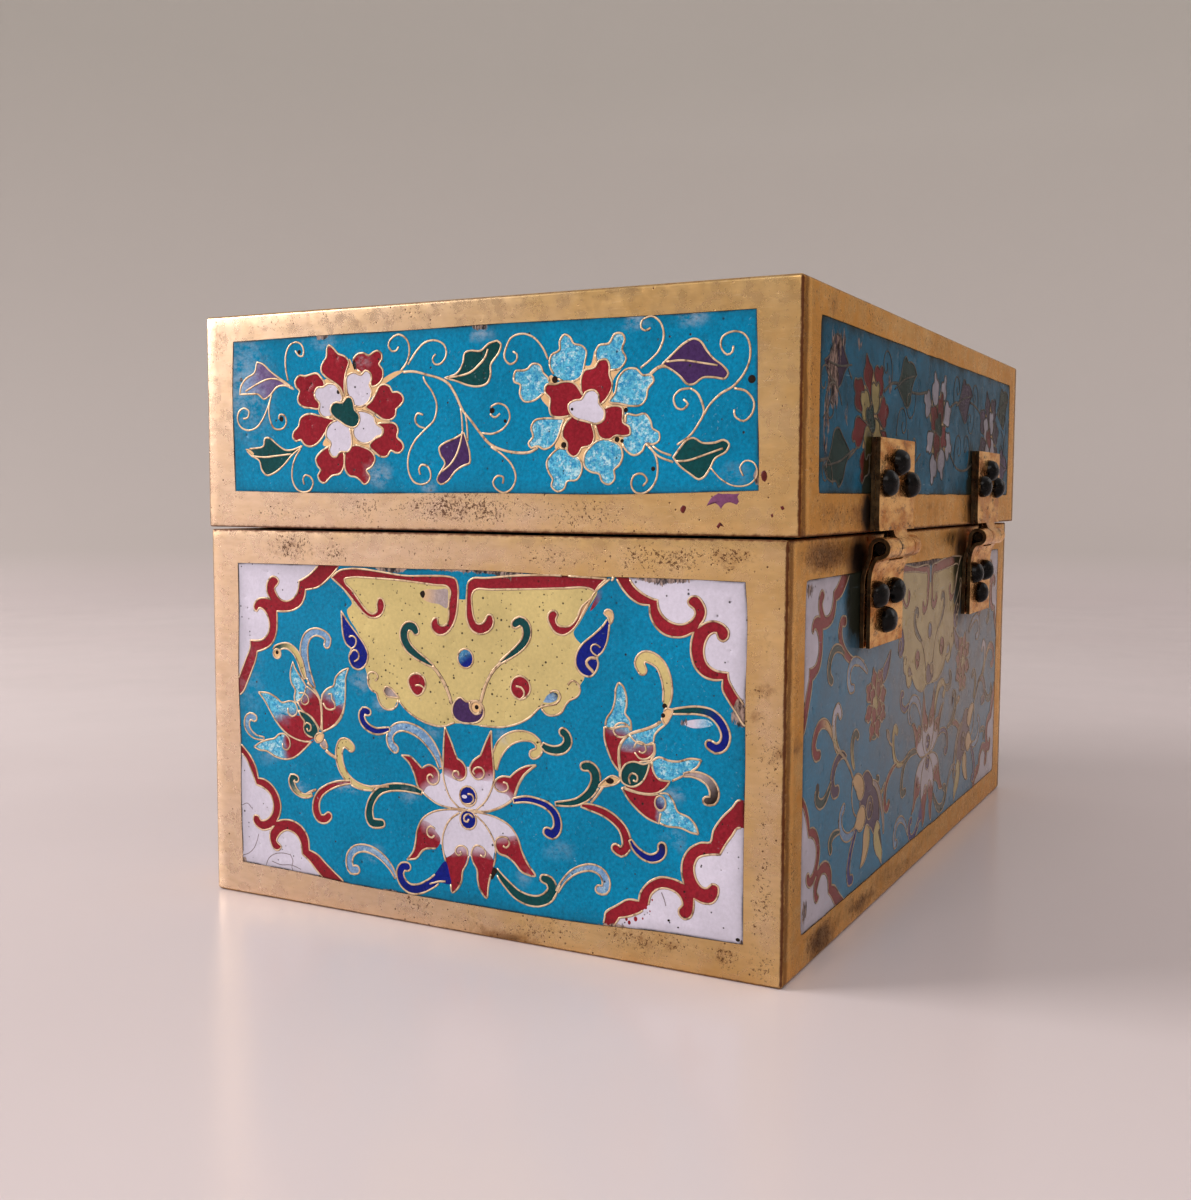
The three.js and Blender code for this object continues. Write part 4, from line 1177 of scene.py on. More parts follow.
def bud_right(p):
    """The bud at the right."""
    p.stroke(
        "yellow",
        "26 10.8 1.1, 25.6 11.7 1.2, 26.2 12.5 1.2, 27.3 12.4 1.3, 28.5 11.6 1.2, 29.2 10.2 1.2, "
        "29.5 8.6 1.1, 29.4 7.2 0.9, 29.2 6.3 0.5",
    )
    p.dot("black", 29.1, 6.5, 0.35, wired=False)
    p.stroke(
        "navy",
        "35.2 2.2 1, 36 1.8 1.1, 36.9 2.2 1.1, 37.3 3.4 1.05, 36.7 4.9 1, 35.4 6 0.95, 33.6 6.3 0.85, "
        "31.6 6.1 0.7, 29.7 5.8 0.4",
        fade=("green", 36, 5, 33.6, 6.4),
    )
    p.area(
        "white",
        "31.6 4.6, 33 5.1, 35 5.2, 35.6 4.7, 34.2 4.2, 32.6 4.1",
        wired=False,
        fade=("sky", 33, 4.6, 35.6, 4.6),
    )
    p.area(
        "sky",
        "22.7 9, 23.3 8.6, 23.8 7.2, 23.8 6, 23.6 5.2, 24.4 4.2, 24.5 3.2 / 22.6 3.2, 20.8 3 / 21 4.2, "
        "21.8 5.4, 22.2 6.8, 22.3 8.2",
    )
    p.area(
        "red",
        "20.7 3.2, 21.8 3, 23 3.4, 24.4 3.4, 24.6 2.6 / 23.6 2, 22.8 0.8, 22.8 -1, 22.9 -2.4 / 22 -1.4, "
        "21.2 0.2, 20.7 1.8 /",
        fade=("sky", 22.6, 2.4, 23, 3.8),
    )
    p.wire("24.4 3, 23.9 3.7, 23.1 3.9, 22.3 3.5, 22 2.7, 22.6 2.1, 23.5 2.1, 24 2.4")
    p.area(
        "sky",
        "29.4 4.9, 28.3 4.3, 27 3.6, 25.6 3, 24.2 2.5 / 24.6 1.4, 26 1.2, 27.6 1.8 / 27.8 2.8, 28.5 3.6, "
        "29.2 4.2",
        fade=("red", 26, 2, 25.2, 0.8),
    )
    p.area(
        "red",
        "24.2 2.5, 23.1 1.2, 22.7 -0.6, 22.9 -2.3 / 24.4 -1.4, 26 -0.8, 27.2 -0.6 / 27.8 0.4, 27.8 1.6 / "
        "26.4 1.4, 25.2 1.6 /",
        fade=("sky", 26.2, 0.8, 26, 2.2),
    )
    p.wire("24.9 0.9, 25.4 1.7, 26.3 1.5, 26.6 0.7, 26.1 0.3, 25.6 0.5")
    p.wire("27.6 1.8, 27.7 0.6, 26.9 -0.3, 25.7 -0.4, 25 0.3")
    p.area(
        "sky",
        "34.1 0.2, 32.6 0.2, 31 -0.3, 29.6 -0.3, 28.4 0, 27.4 -0.6 / 27.4 -1.8, 28.4 -2.7, 29.8 -3 / "
        "31 -2.4, 32.4 -1.6, 33.6 -0.7",
    )
    p.area(
        "red",
        "27.4 -0.6, 27.6 -1.8, 28.4 -2.8, 29.9 -2.9 / 29.4 -3.7, 28 -4.6, 26 -4.8, 23.4 -4.3 / 25 -3.7, "
        "26.4 -2.4 /",
    )
    p.area(
        "sky",
        "33.8 -9.1, 33.5 -8.2, 32.6 -7.2, 31 -6.6, 30.4 -5.4, 29.6 -4.5, 28.5 -4.6 / 28.6 -6, 28.4 -7.4, "
        "28.2 -8.2 / 29.6 -8.6, 31.4 -8.6, 32.8 -9",
    )
    p.area(
        "red",
        "23.2 -4.4, 25 -4.8, 27 -4.9, 28.4 -4.7 / 28.8 -6, 28.6 -7.4, 28.4 -8.4 / 26.8 -7.9, 25.2 -6.8, "
        "24 -5.6 /",
        fade=("sky", 28, -7, 29.2, -7),
    )
    p.dot("purple", 28.6, -5.8, 0.75, squash=1.25, fade=("lilac", 28.4, -6, 29, -5))
    p.area(
        "green",
        "27.1 -0.8, 26.2 -1.1, 25 -0.9, 23.8 -1.3, 23.1 -2.4, 23.2 -3.6, 24.2 -4.1, 25.2 -4, 26.2 -3.2, "
        "26.8 -2 /",
    )
    p.wire("24.4 -3.8, 24.2 -3, 24.7 -2.4, 25.4 -2.7, 25.3 -3.4, 24.8 -3.3")
    p.wire("23 -3.3, 22.9 -1.4, 22.8 0.4, 23.3 1.6, 24.4 2.6, 26.6 3.4, 28.2 4.2, 29.3 5.4", 0.4)
    p.area("gold", "28.7 5, 29.3 6.2, 30.2 6, 29.8 5, 29.2 4.2")
    p.dot("black", 28.9, 5.3, 0.3, wired=False)
    p.stroke(
        "grey",
        "34.9 -4.8 0.9, 35.6 -4.7 1, 35.9 -3.7 1.1, 35.3 -2.5 1, 34.2 -1.9 0.8, 32.8 -1.7 0.5, "
        "31.8 -1.9 0.3",
        fade=("black", 34, -2, 36, -4),
    )


def flaked(p):
    """Places where the glass has flaked off and the ground shows."""
    p.area(
        "grey",
        "-7.6 19.2, -6.8 19.7, -4.6 19.8, -3.1 19.9, -3 18.6, -3.2 17.3, -4.4 17.8, -6 18, -7.2 18.5 /",
        wired=False,
        fade=("gold", -4.6, 18.6, -7.4, 18.8),
    )
    p.area("black", "-7.6 19.2, -7 19.6, -6.7 19.1, -7.1 18.5", wired=False)


def cracked(p):
    """Fine cracks in the white of the bottom left corner."""
    for text in (
        "-39.8 -21.2 0.02, -38.6 -20.7 0.02, -37.6 -19.8 0.02, -37 -18.6 0.01, -36.7 -17.6 0.01",
        "-35.4 -22.2 0.02, -34.8 -21 0.03, -33.6 -20.2 0.02, -32 -19.9 0.02, -30.7 -20 0.01",
        "-30.8 -19.9 0.02, -30.3 -20.8 0.03, -30.5 -21.8 0.02, -30.2 -22.4 0.01",
        "-34.2 -21.4 0.01, -32.6 -21.7 0.02, -30.6 -21.5 0.01, -28.8 -21.9 0.01",
        "-37.8 -14 0.01, -38.8 -13.2 0.02, -39.8 -13.6 0.01",
        "28.9 -17.2 0.05, 29.3 -18.1 0.03, 29.5 -18.8 0.01",
    ):
        p.stroke("crack", text, wired=False)


def sprinkled(p):
    """Red glass that strayed into the white of the bottom right corner, and dirt in its edge."""
    for x, y, radius in (
        (27.1, -17.6, 0.16),
        (27.6, -18.3, 0.12),
        (26.7, -19.4, 0.2),
        (25.8, -20, 0.16),
        (25.3, -21.1, 0.26),
        (24, -21.3, 0.2),
        (24.4, -21.7, 0.22),
        (26.3, -20.9, 0.12),
        (27.3, -19.8, 0.1),
    ):
        p.dot("red", x, y, radius, wired=False, squash=1.3)
    for x, y, radius in ((29.9, -20.6, 0.2), (31.2, -21.3, 0.14), (37.3, -20.4, 0.12), (39.2, -21.6, 0.3)):
        p.dot("black", x, y, radius, wired=False, squash=0.8)


CLOUDS = (cloud_top_left, cloud_bottom_left, cloud_top_right, cloud_bottom_right)


def lappet_panel(p):
    """An end of the body: a yellow lappet above a lotus, a bud at each side and clouds in the corners."""
    for part in (*CLOUDS, lappet, lotus, tendrils, bud_left, bud_right, flaked, cracked, sprinkled):
        part(p)


def leaves_and_scrolls(p):
    """Stems, leaves and fine scrolls of wire for the end of the lid."""
    p.wire(
        "-13.4 4.4, -12 5.05, -10.6 5.4, -8.7 5.4, -6.7 4.9, -4.8 4.4, -3.4 3.7, -2.3 2.3, -1.4 0.6, "
        "-0.9 -0.2, 0 -1.1, 1.4 -2.7, 3.1 -4.4, 5 -5.2, 7.2 -5.6, 9.2 -5.55, 10.4 -5",
        0.36,
    )
    p.area("gold", "-14.6 4.1, -13.3 5, -11.6 5.6, -10.4 5.6, -11.4 5.1, -13.2 4.2, -14.4 3.7", wired=False)
    for line in (
        "-30.5 5, -30.9 6.7, -30.8 8.7, -30.1 9.9, -28.9 10.3, -28 9.9, -27.6 9.1, -27.8 8.3, -28.5 8.4, "
        "-29.1 9.1",
        "-33.4 3.4, -34.1 1.7, -35 0, -36.4 -1.5, -38.1 -1.9, -39.5 -1.3, -40 -0.1, -39.6 0.9, -38.7 1.3, "
        "-37.8 0.8, -38.1 -0.1, -38.9 -0.2",
        "-33.7 2.8, -34.1 0.9, -33.9 -0.5, -33.3 -1.6, -32.3 -1.9, -31.3 -1.6, -30.9 -0.8, -31.3 0.1, "
        "-32.1 0.2, -32.3 -0.4",
        "-28.4 -4.7, -29.4 -6, -29.9 -7.4, -29.9 -9.1, -29.1 -10.4, -27.8 -10.8, -26.7 -10.5, -26.2 -9.5, "
        "-26.6 -8.7, -27.6 -8.4, -28 -9, -27.8 -9.7",
        "-11 5.6, -10 6.7, -9.5 8.4, -10 9.8, -11.3 10.5, -12.6 9.9, -13 9.1, -12.4 8.3, -11.6 8.4, "
        "-11.3 8.9",
        "-9.8 6.4, -8.4 8.1, -7 9.2, -5.3 9.4, -3.9 8.7, -3.6 7.4, -4.5 6.3, -5.5 6.3, -5.8 7, -5.3 7.6",
        "-7.3 4.7, -7.1 4.1, -5.9 2.6, -5.2 0.9, -5.6 -1.1, -7 -2.3, -8.7 -3.8, -9.8 -5.8, -9.8 -8, "
        "-8.9 -9.4, -7.5 -9.7, -6.4 -9.2, -6.2 -8.3, -6.7 -7.3, -7.7 -7.1, -8.1 -7.7, -7.9 -8.4",
        "-7.1 -2.2, -8.1 -1.9, -8.7 -1.1, -8.3 -0.2, -7.4 -0.4",
        "-1.4 0.4, -1.2 -1.2, -1.1 -2.8",
        "-0.7 -0.2, -0.4 -2, -0.3 -4",
        "1.9 -3, 3.6 -3.1, 5.3 -2.4, 6.2 -1.1, 5.7 0.3, 4.4 0.8, 3.3 0.3, 3.2 -0.5, 4 -1, 4.7 -0.5",
        "3.3 -4.8, 5 -5.8, 6.5 -7.2, 7.1 -8.8, 6.5 -10.2, 5.3 -10.8, 4 -10.2, 3.6 -9.4, 4.3 -8.6, "
        "5.2 -8.8, 5.1 -9.6",
        "11.9 6.2, 11.1 7.7, 9.7 9.1, 8.1 9.6, 6.5 9.2, 5.7 8, 5.4 6.7, 6.2 5.8, 7.2 6.2, 7.3 7, 6.7 7.4",
        "25 4.6, 26.4 5.6, 27.5 6.7, 28.1 8.4, 27.6 10, 26.4 10.8, 25.1 10.3, 25 9.5, 25.6 9.1, 26.3 9.4",
        "31.7 1.9, 32.6 1.3, 33.3 0, 33.5 -1.1, 32.8 -2.4, 31.7 -3.8, 30 -4.9",
        "31.7 1.9, 30.3 1.7, 29.5 0.8, 29.9 -0.4, 30.8 -0.6, 31.4 0, 30.8 0.6",
        "33.5 -1.3, 34.3 -0.1, 35.8 1.2, 37.2 1.9, 38.6 3.4, 39.3 5, 39.3 6.7, 38.6 8, 37.2 8.4, "
        "35.8 7.8, 35.6 6.7, 36.4 5.7, 37.1 6, 37.2 6.7",
        "37.4 1.7, 38.9 1.3, 39.9 0, 39.7 -1.3, 38.6 -2.2, 37.5 -1.6, 37.4 -0.8",
        "25.8 -4.7, 26.9 -5.8, 27.4 -7.4, 27.1 -9.4, 25.8 -10.7, 24.4 -10.7, 23.8 -9.7, 24.2 -8.6, "
        "25.3 -8.4, 26 -9.2, 25.4 -9.9",
    ):
        p.wire(line)
    p.wire(
        "34.4 -7.7, 35.8 -9.1, 37.5 -9.9, 39.4 -9.7, 40.4 -8.6, 40 -7.2, 38.9 -6.9, 38.2 -7.7, 38.6 -8.7",
        0.2,
    )
    p.wire("26 3.5, 27.1 4.4, 28 4.7, 28.8 4.5", 0.45)
    p.wire("26 -4.5, 27.8 -5.7, 29.6 -6.3")
    p.wire("26.2 -5.1, 27.6 -6.3, 29.5 -7")

    # Leaves, with a midrib.
    p.area(
        "violet",
        "-36.2 7.8, -35.1 7.5, -33.7 6.4, -32.3 5.5, -30.9 4.7, -29.5 3.7, -30.9 4.3, -32.6 4.1, "
        "-33.7 3.1, -35 2.5, -36 3.2, -37.6 3.3, -39.5 3.3 / -39.2 4.5, -38.3 5.5, -36.7 6.3 /",
        fade=("lilac", -35.5, 5.2, -38.6, 3.6),
    )
    p.wire("-38.4 3.7, -36.4 4.6, -34.2 5.3, -32.3 5.2, -30 3.9")
    p.area(
        "green",
        "-38.6 -4.6, -37.4 -5.6, -36 -6.3, -35.5 -7.7, -34.6 -8.4, -33.1 -8, -31.4 -6.9, -30 -5.6, "
        "-28.1 -4.3, -29.8 -4.8, -31.2 -4.8, -32.8 -3.9, -34 -3.1, -34.9 -3.1, -35.2 -4.2, -36.7 -4.5 /",
    )
    p.wire("-37.4 -5.6, -35 -5.8, -32.5 -5.6, -30 -5.4")
    p.area("gold", "-38.6 -4.6, -37.2 -5.6, -37 -5.3, -38 -4.6 /", wired=False)
    p.area(
        "green",
        "4.3 8.9, 4.9 8.4, 4.6 7.4, 3.3 5.8, 3.3 4.6, 2.8 3.5, 1.4 3.1, -0.2 3.3, -2 3.9, -3.9 4.4 / "
        "-2 4.9, -1 6.2, -0.7 7.5, 0.2 7.8, 1.7 7.7, 3.1 8.6",
    )
    p.wire("-3.4 4.4, -1.4 4.6, 0.2 5, 1.5 5.9, 2.5 6.9, 2.9 7.9")
    p.area(
        "purple",
        "-0.9 -2.9, -2.3 -3.6, -3.7 -4.1, -4.8 -4.8, -4.6 -5.8, -3.9 -6.9, -4.8 -8.3, -5.2 -9.1, "
        "-4.6 -9.7, -3.4 -9.2, -2.3 -8, -0.9 -7.2, 0 -6.9, 0 -5.6, -0.4 -4.2 /",
    )
    p.wire("-1.1 -2.6, -1.4 -4, -2 -5.6, -3 -7, -4.4 -8")
    p.area(
        "purple",
        "27.9 4.9, 29.2 6, 30.8 7.3, 32.1 7.8, 33 7.4, 33.8 6.3, 34.7 5.3, 35.8 4.5, 36.6 3.5, 36.2 2.9, "
        "34.7 3.1, 33.3 3.1, 32.2 2.4, 31.3 2.4, 30.3 3.4, 29.2 4.2 /",
    )
    p.wire("28.5 5.2, 30.5 5.3, 33 4.9, 35.2 4.5")
    p.area(
        "green",
        "29.5 -6.4, 30.3 -5.4, 31.2 -4.4, 32.2 -4.1, 33.3 -4.7, 35 -4.7, 36.1 -4.4, 36.8 -4.9, 36.4 -5.8, "
        "35 -6.6, 34.4 -7.7, 33.6 -8.8, 32.9 -9.1, 31.7 -8.4, 30.3 -7.4 /",
    )
    p.wire("29.8 -6.9, 31.5 -6.8, 33.5 -6.2, 36 -5.4")


def rosette_left(p, outer="red", inner="white", heart="green"):
    """Seven ragged petals, four inside them and a heart."""
    p.area(
        "gold",
        "-15 4.9, -14 4, -16.4 1.4, -15 -0.6, -12.8 -1.2, -15.4 -2, -16.4 -4.6, -15.2 -5.6, -18.8 -4.8, "
        "-20.6 -6, -20.4 -8, -20.9 -4.6, -24.4 -4.2, -22.6 -1.2, -25 0.6, -24.4 4.6, -22.8 5.2, "
        "-20.4 6.6, -19.6 7.6, -19 6.6, -18.4 6, -16 5.2",
        wired=False,
    )
    for line in (
        "-23.1 9.6, -22.2 9, -21.6 8.4, -20.3 7.9, -19.7 7.1, -20.2 5.9, -20.5 4.4, -20.6 2.5, -21.2 3.6, "
        "-22.4 4.5, -23.5 5.1, -24.5 6, -24.4 7, -23.6 8, -23.5 9.1",
        "-19.1 6.9, -18.5 8, -17.3 8.3, -16.3 7.9, -15.7 8.2, -14.9 8.5, -14.2 8.1, -14.1 7.3, -14.6 6.7, "
        "-14 5.9, -14 4.8, -14.8 3.9, -15.9 3.7, -16.2 5.5, -17.5 5.6",
        "-16.9 0.9, -15.9 1.7, -15.2 2.7, -14.5 3.7, -13.7 3.9, -12.8 3.5, -12.4 2.8, -11.6 2.8, "
        "-10.8 2.3, -10.6 1.6, -11.2 0.9, -11.8 0.5, -11.9 -0.3, -12.6 -0.9, -13.9 -0.9, -15.1 -0.2, "
        "-16.2 0.4",
        "-14.9 -1.5, -13.4 -1.3, -12 -1.5, -11.5 -2.3, -11.7 -3.3, -10.9 -4, -10.6 -4.7, -11.2 -5.4, "
        "-12 -5.4, -12.7 -5.1, -13.4 -5.9, -14.5 -5.9, -15.3 -5.4, -16.3 -4.4, -15.4 -3.5, -14.2 -3, "
        "-14 -2.2",
        "-18.8 -4.3, -17.3 -4.6, -16 -5.2, -15.4 -6.2, -16 -7.3, -16.9 -7.8, -16.3 -8.6, -16.6 -9.4, "
        "-17.3 -9.7, -17.9 -9.2, -18.7 -8.7, -19.8 -8.5, -20.5 -7.7, -20.6 -6.3, -20.3 -5",
        "-24.2 -4.8, -25.2 -5.5, -25.7 -6.2, -25.3 -7.2, -24.8 -7.7, -25.3 -8.4, -24.9 -9.3, -24.1 -9.5, "
        "-23.5 -9, -22.8 -8.5, -21.4 -8.2, -20.8 -7.3, -20.7 -6, -20.9 -5, -22.4 -4.2",
        "-26.6 0.2, -27.7 0, -28.4 -0.5, -28.7 -1.5, -29.6 -2.3, -29.8 -3, -29.1 -3.6, -28.3 -3.4, "
        "-27.8 -4, -26.7 -4.4, -25.6 -4.1, -24.6 -3.3, -23.9 -2.4, -23.1 -1.6, -22.1 -0.9, -23.7 -0.4, "
        "-25 -0.1",
        "-28.4 5.6, -27.4 5.5, -26.4 5.7, -25.3 5.8, -24.6 5.2, -24 4.4, -24.6 2, -25 0.9, -26.4 1, "
        "-27.8 1.2, -28.7 1.9, -28.7 2.7, -28.4 3.4, -29.1 4.1, -29.2 4.9",
    ):
        p.area(outer, line)
    for line in (
        "-25.8 3, -25.3 3.8, -24.2 3.9, -23.4 4.3, -22.1 4.1, -21.3 3.1, -20.9 2.2, -21.6 1.4, -22.6 0.6, "
        "-23 -0.2, -24.2 -0.3, -25 0.5, -24.9 1.6, -25.6 2.3",
        "-20.1 5.2, -18.9 5.7, -17.7 5.3, -16.9 5.9, -16.1 5.5, -15.9 4.6, -16.3 3.9, -15.9 3.1, "
        "-16.4 1.7, -17.6 1, -18.9 1.2, -19.6 2.2, -20 2.9, -20.2 4",
        "-18.3 0.3, -16.7 0.2, -15.6 -0.4, -15.2 -1.4, -14.2 -2.1, -14.2 -2.9, -15.1 -3.2, -15.9 -3.8, "
        "-17.3 -4.1, -18.5 -3.6, -19.1 -2.7, -18.9 -1.7, -18.4 -0.8",
        "-22.6 -1, -23.7 -2, -23.8 -3.1, -23 -4, -23.3 -4.9, -22.8 -5.8, -22.1 -5.9, -21.3 -5.2, "
        "-20.1 -5.2, -19.4 -4.4, -19.4 -3, -19.9 -1.7, -21.2 -0.9",
    ):
        p.area(inner, line)
    p.area(
        heart,
        "-22.8 1.3, -22 1.7, -20.9 1.6, -20.2 2.3, -19.4 2.3, -19 1.6, -18.8 0.6, -18.1 -0.1, -18 -1, "
        "-18.7 -1.8, -20 -1.7, -21.3 -1, -22.3 -0.4, -23 0.4",
    )


def rosette_right(p, outer="sky", inner="red", heart="white"):
    """A second rosette, of eight petals."""
    p.area(
        "gold",
        "18.6 7, 18 5.2, 16.4 5.2, 13.4 3, 12.4 4.2, 10.8 1.6, 13 -1, 13.6 -3.4, 12.9 -5, 15 -5.8, "
        "16.8 -7.2, 17.8 -5.2, 20 -4, 22.6 -5.2, 23.4 -3, 22.8 -0.8, 23.4 0.4, 21.4 1.2, 21.2 3.2, "
        "22.4 4.8, 20.8 4.6, 19 5.4",
        wired=False,
    )
    for line in (
        "12.1 5.6, 12.4 6.7, 13.6 7.3, 13.6 8.4, 14.3 9.2, 15.1 8.8, 15.6 8, 16.7 7.7, 17.4 7, 17.2 5.6, "
        "16.7 3.9, 15.6 3.3, 13.7 3.5, 12.5 4.6",
        "18.7 6.6, 19.2 7.6, 20.6 7.8, 21.4 8.9, 22.4 8.9, 22.8 8.2, 22.4 7, 23 5.8, 22.2 4.7, 21.2 4.5, "
        "20 4.6, 19 5.5",
        "20.7 0.6, 21.5 1.7, 21.9 3.4, 23 4.5, 24.4 4.5, 25.3 3.7, 26.4 3.7, 26.8 3, 26 2, 25.8 0.9, "
        "25.1 0.1, 23.6 0, 22.2 0.3",
        "23.1 -1, 24.4 -1.2, 25.6 -1, 26.4 -1.9, 26.7 -2.9, 27.5 -3.3, 27.6 -4.3, 26.7 -4.8, 25.8 -4.7, "
        "25.3 -5.6, 24.2 -6.1, 23.2 -5.6, 22.6 -4.6, 23 -3.1, 23 -2",
        "19.4 -4.1, 21.1 -4.3, 22.2 -4.9, 22.6 -6, 22.2 -7.2, 21.4 -7.9, 21.5 -9, 20.7 -9.7, 19.7 -9.3, "
        "19.3 -8.4, 18.1 -8.1, 17.2 -7.4, 17.2 -6, 18 -5",
        "13.6 -5.1, 12.5 -5.8, 11.7 -6.9, 12.1 -8.3, 12.6 -9, 12.4 -9.9, 13.3 -10.6, 14.3 -10.2, "
        "14.7 -9.3, 16.1 -9.1, 16.8 -8, 16.7 -6.8, 15.8 -6, 14.7 -5.4",
        "10 -1.5, 9.4 -2.4, 9.7 -3.6, 9 -4.4, 9.4 -5, 10.4 -4.8, 11.3 -5.2, 12.5 -4.8, 13.4 -3.6, "
        "13.9 -2.2, 14.2 -1.5, 12.5 -1.3, 11.1 -1.3",
        "6.8 4.1, 7.1 4.9, 8.1 4.9, 8.9 5.1, 9.6 5.7, 10.7 5.5, 11.2 4.5, 12 3.7, 11.9 2.7, 11.2 1.9, "
        "9.7 1, 8.3 1, 7.7 2, 7.8 3.1, 6.9 3.5",
    ):
        p.area(outer, line)
    for line in (
        "11.4 2.1, 11.7 3, 12.9 3, 14.2 3.3, 15.6 3.1, 16.6 2, 16.9 1.2, 16.4 0.2, 16 -0.6, 15.1 -1, "
        "13.6 -1.2, 12.4 -0.9, 12.1 0, 12.2 1.2",
        "16.7 2, 16.7 3.7, 17.2 4.6, 18.6 4.9, 19.2 5.7, 20.3 5.8, 20.7 5, 20.7 3.9, 21.1 2.8, 20.8 1.7, "
        "19.9 0.6, 19.1 0.2, 18 0.6, 17.2 1.2",
        "20.1 -0.2, 21.4 0.1, 22.5 -0.2, 22.6 -1.3, 22.6 -2, 23.5 -2.6, 23.6 -3.5, 22.5 -3.7, 21.7 -3.6, "
        "20.7 -4.1, 19.4 -3.8, 18.9 -2.7, 18.6 -1.4, 19.2 -0.6",
        "15.3 -1.2, 14.3 -2.2, 14 -3.6, 14.7 -4.5, 14.7 -5.5, 15.6 -6.2, 16.4 -5.8, 16.8 -5.1, 18.1 -4.8, "
        "18.6 -3.8, 18.3 -2.4, 17.8 -1.4, 16.4 -0.8",
    ):
        p.area(inner, line)
    p.area(
        heart,
        "14.9 0.4, 15.8 0.9, 16.7 1, 17.4 1.9, 18.5 2.1, 19.2 1.4, 19.2 0.5, 20 -0.5, 19.9 -1.6, "
        "18.9 -2.1, 17.5 -1.8, 15.8 -1.3, 15 -0.5",
    )


def rosette_panel(p):
    """An end of the lid: two rosettes among leaves and scrolls."""
    leaves_and_scrolls(p)
    rosette_left(p)
    rosette_right(p)
    p.area("black", "-19.1 6.9, -18.8 7.4, -18.4 6.6, -18.7 6", wired=False)
    for x, y, r in (
        (-31.8, -0.4, 0.4),
        (-28.4, 8.9, 0.3),
        (12.9, 3.6, 0.45),
        (14.2, -4.7, 0.4),
        (21.8, -4.1, 0.35),
        (22.5, -4.3, 0.25),
        (3.5, -0.1, 0.4),
        (5.5, -1.5, 0.25),
        (-21.6, 3.1, 0.3),
        (39.6, 2.7, 0.5),
        (-39.2, 5.4, 0.3),
        (26.8, -7.8, 0.3),
        (15.4, -0.2, 0.2),
        (23, -0.5, 0.3),
    ):
        p.dot("black", x, y, r, wired=False)


def curl(p, x, y, turn, scale=1.0, flip=1):
    """A fine wire that ends in a spiral, from this place."""
    p.at(x, y, turn, scale, flip)
    p.wire("0 0, 0.7 2, 0.5 4.2, -0.9 5.8, -2.8 5.9, -4.1 4.7, -4 3.2, -2.9 2.5, -2 3.1, -2.2 4")
    p.at(0, 0)


def leaf(p, colour, x, y, turn, scale=1.0, flip=1):
    """A lobed leaf with a midrib, its stalk at this place."""
    p.at(x, y, turn, scale, flip)
    p.area(
        colour,
        "0 0, 2.2 1.6, 3.6 3.4, 5.4 4.2, 6.6 3.3, 8.4 3.2, 10.4 2.4, 11.6 1 / 9.8 0.2, 8.2 -1.4, "
        "6.9 -3.3, 5 -3.6, 3 -2.2 /",
    )
    p.wire("-1.5 -0.3, 1.5 0.3, 4.5 0.8, 7.5 0.9, 10 0.9")
    p.at(0, 0)


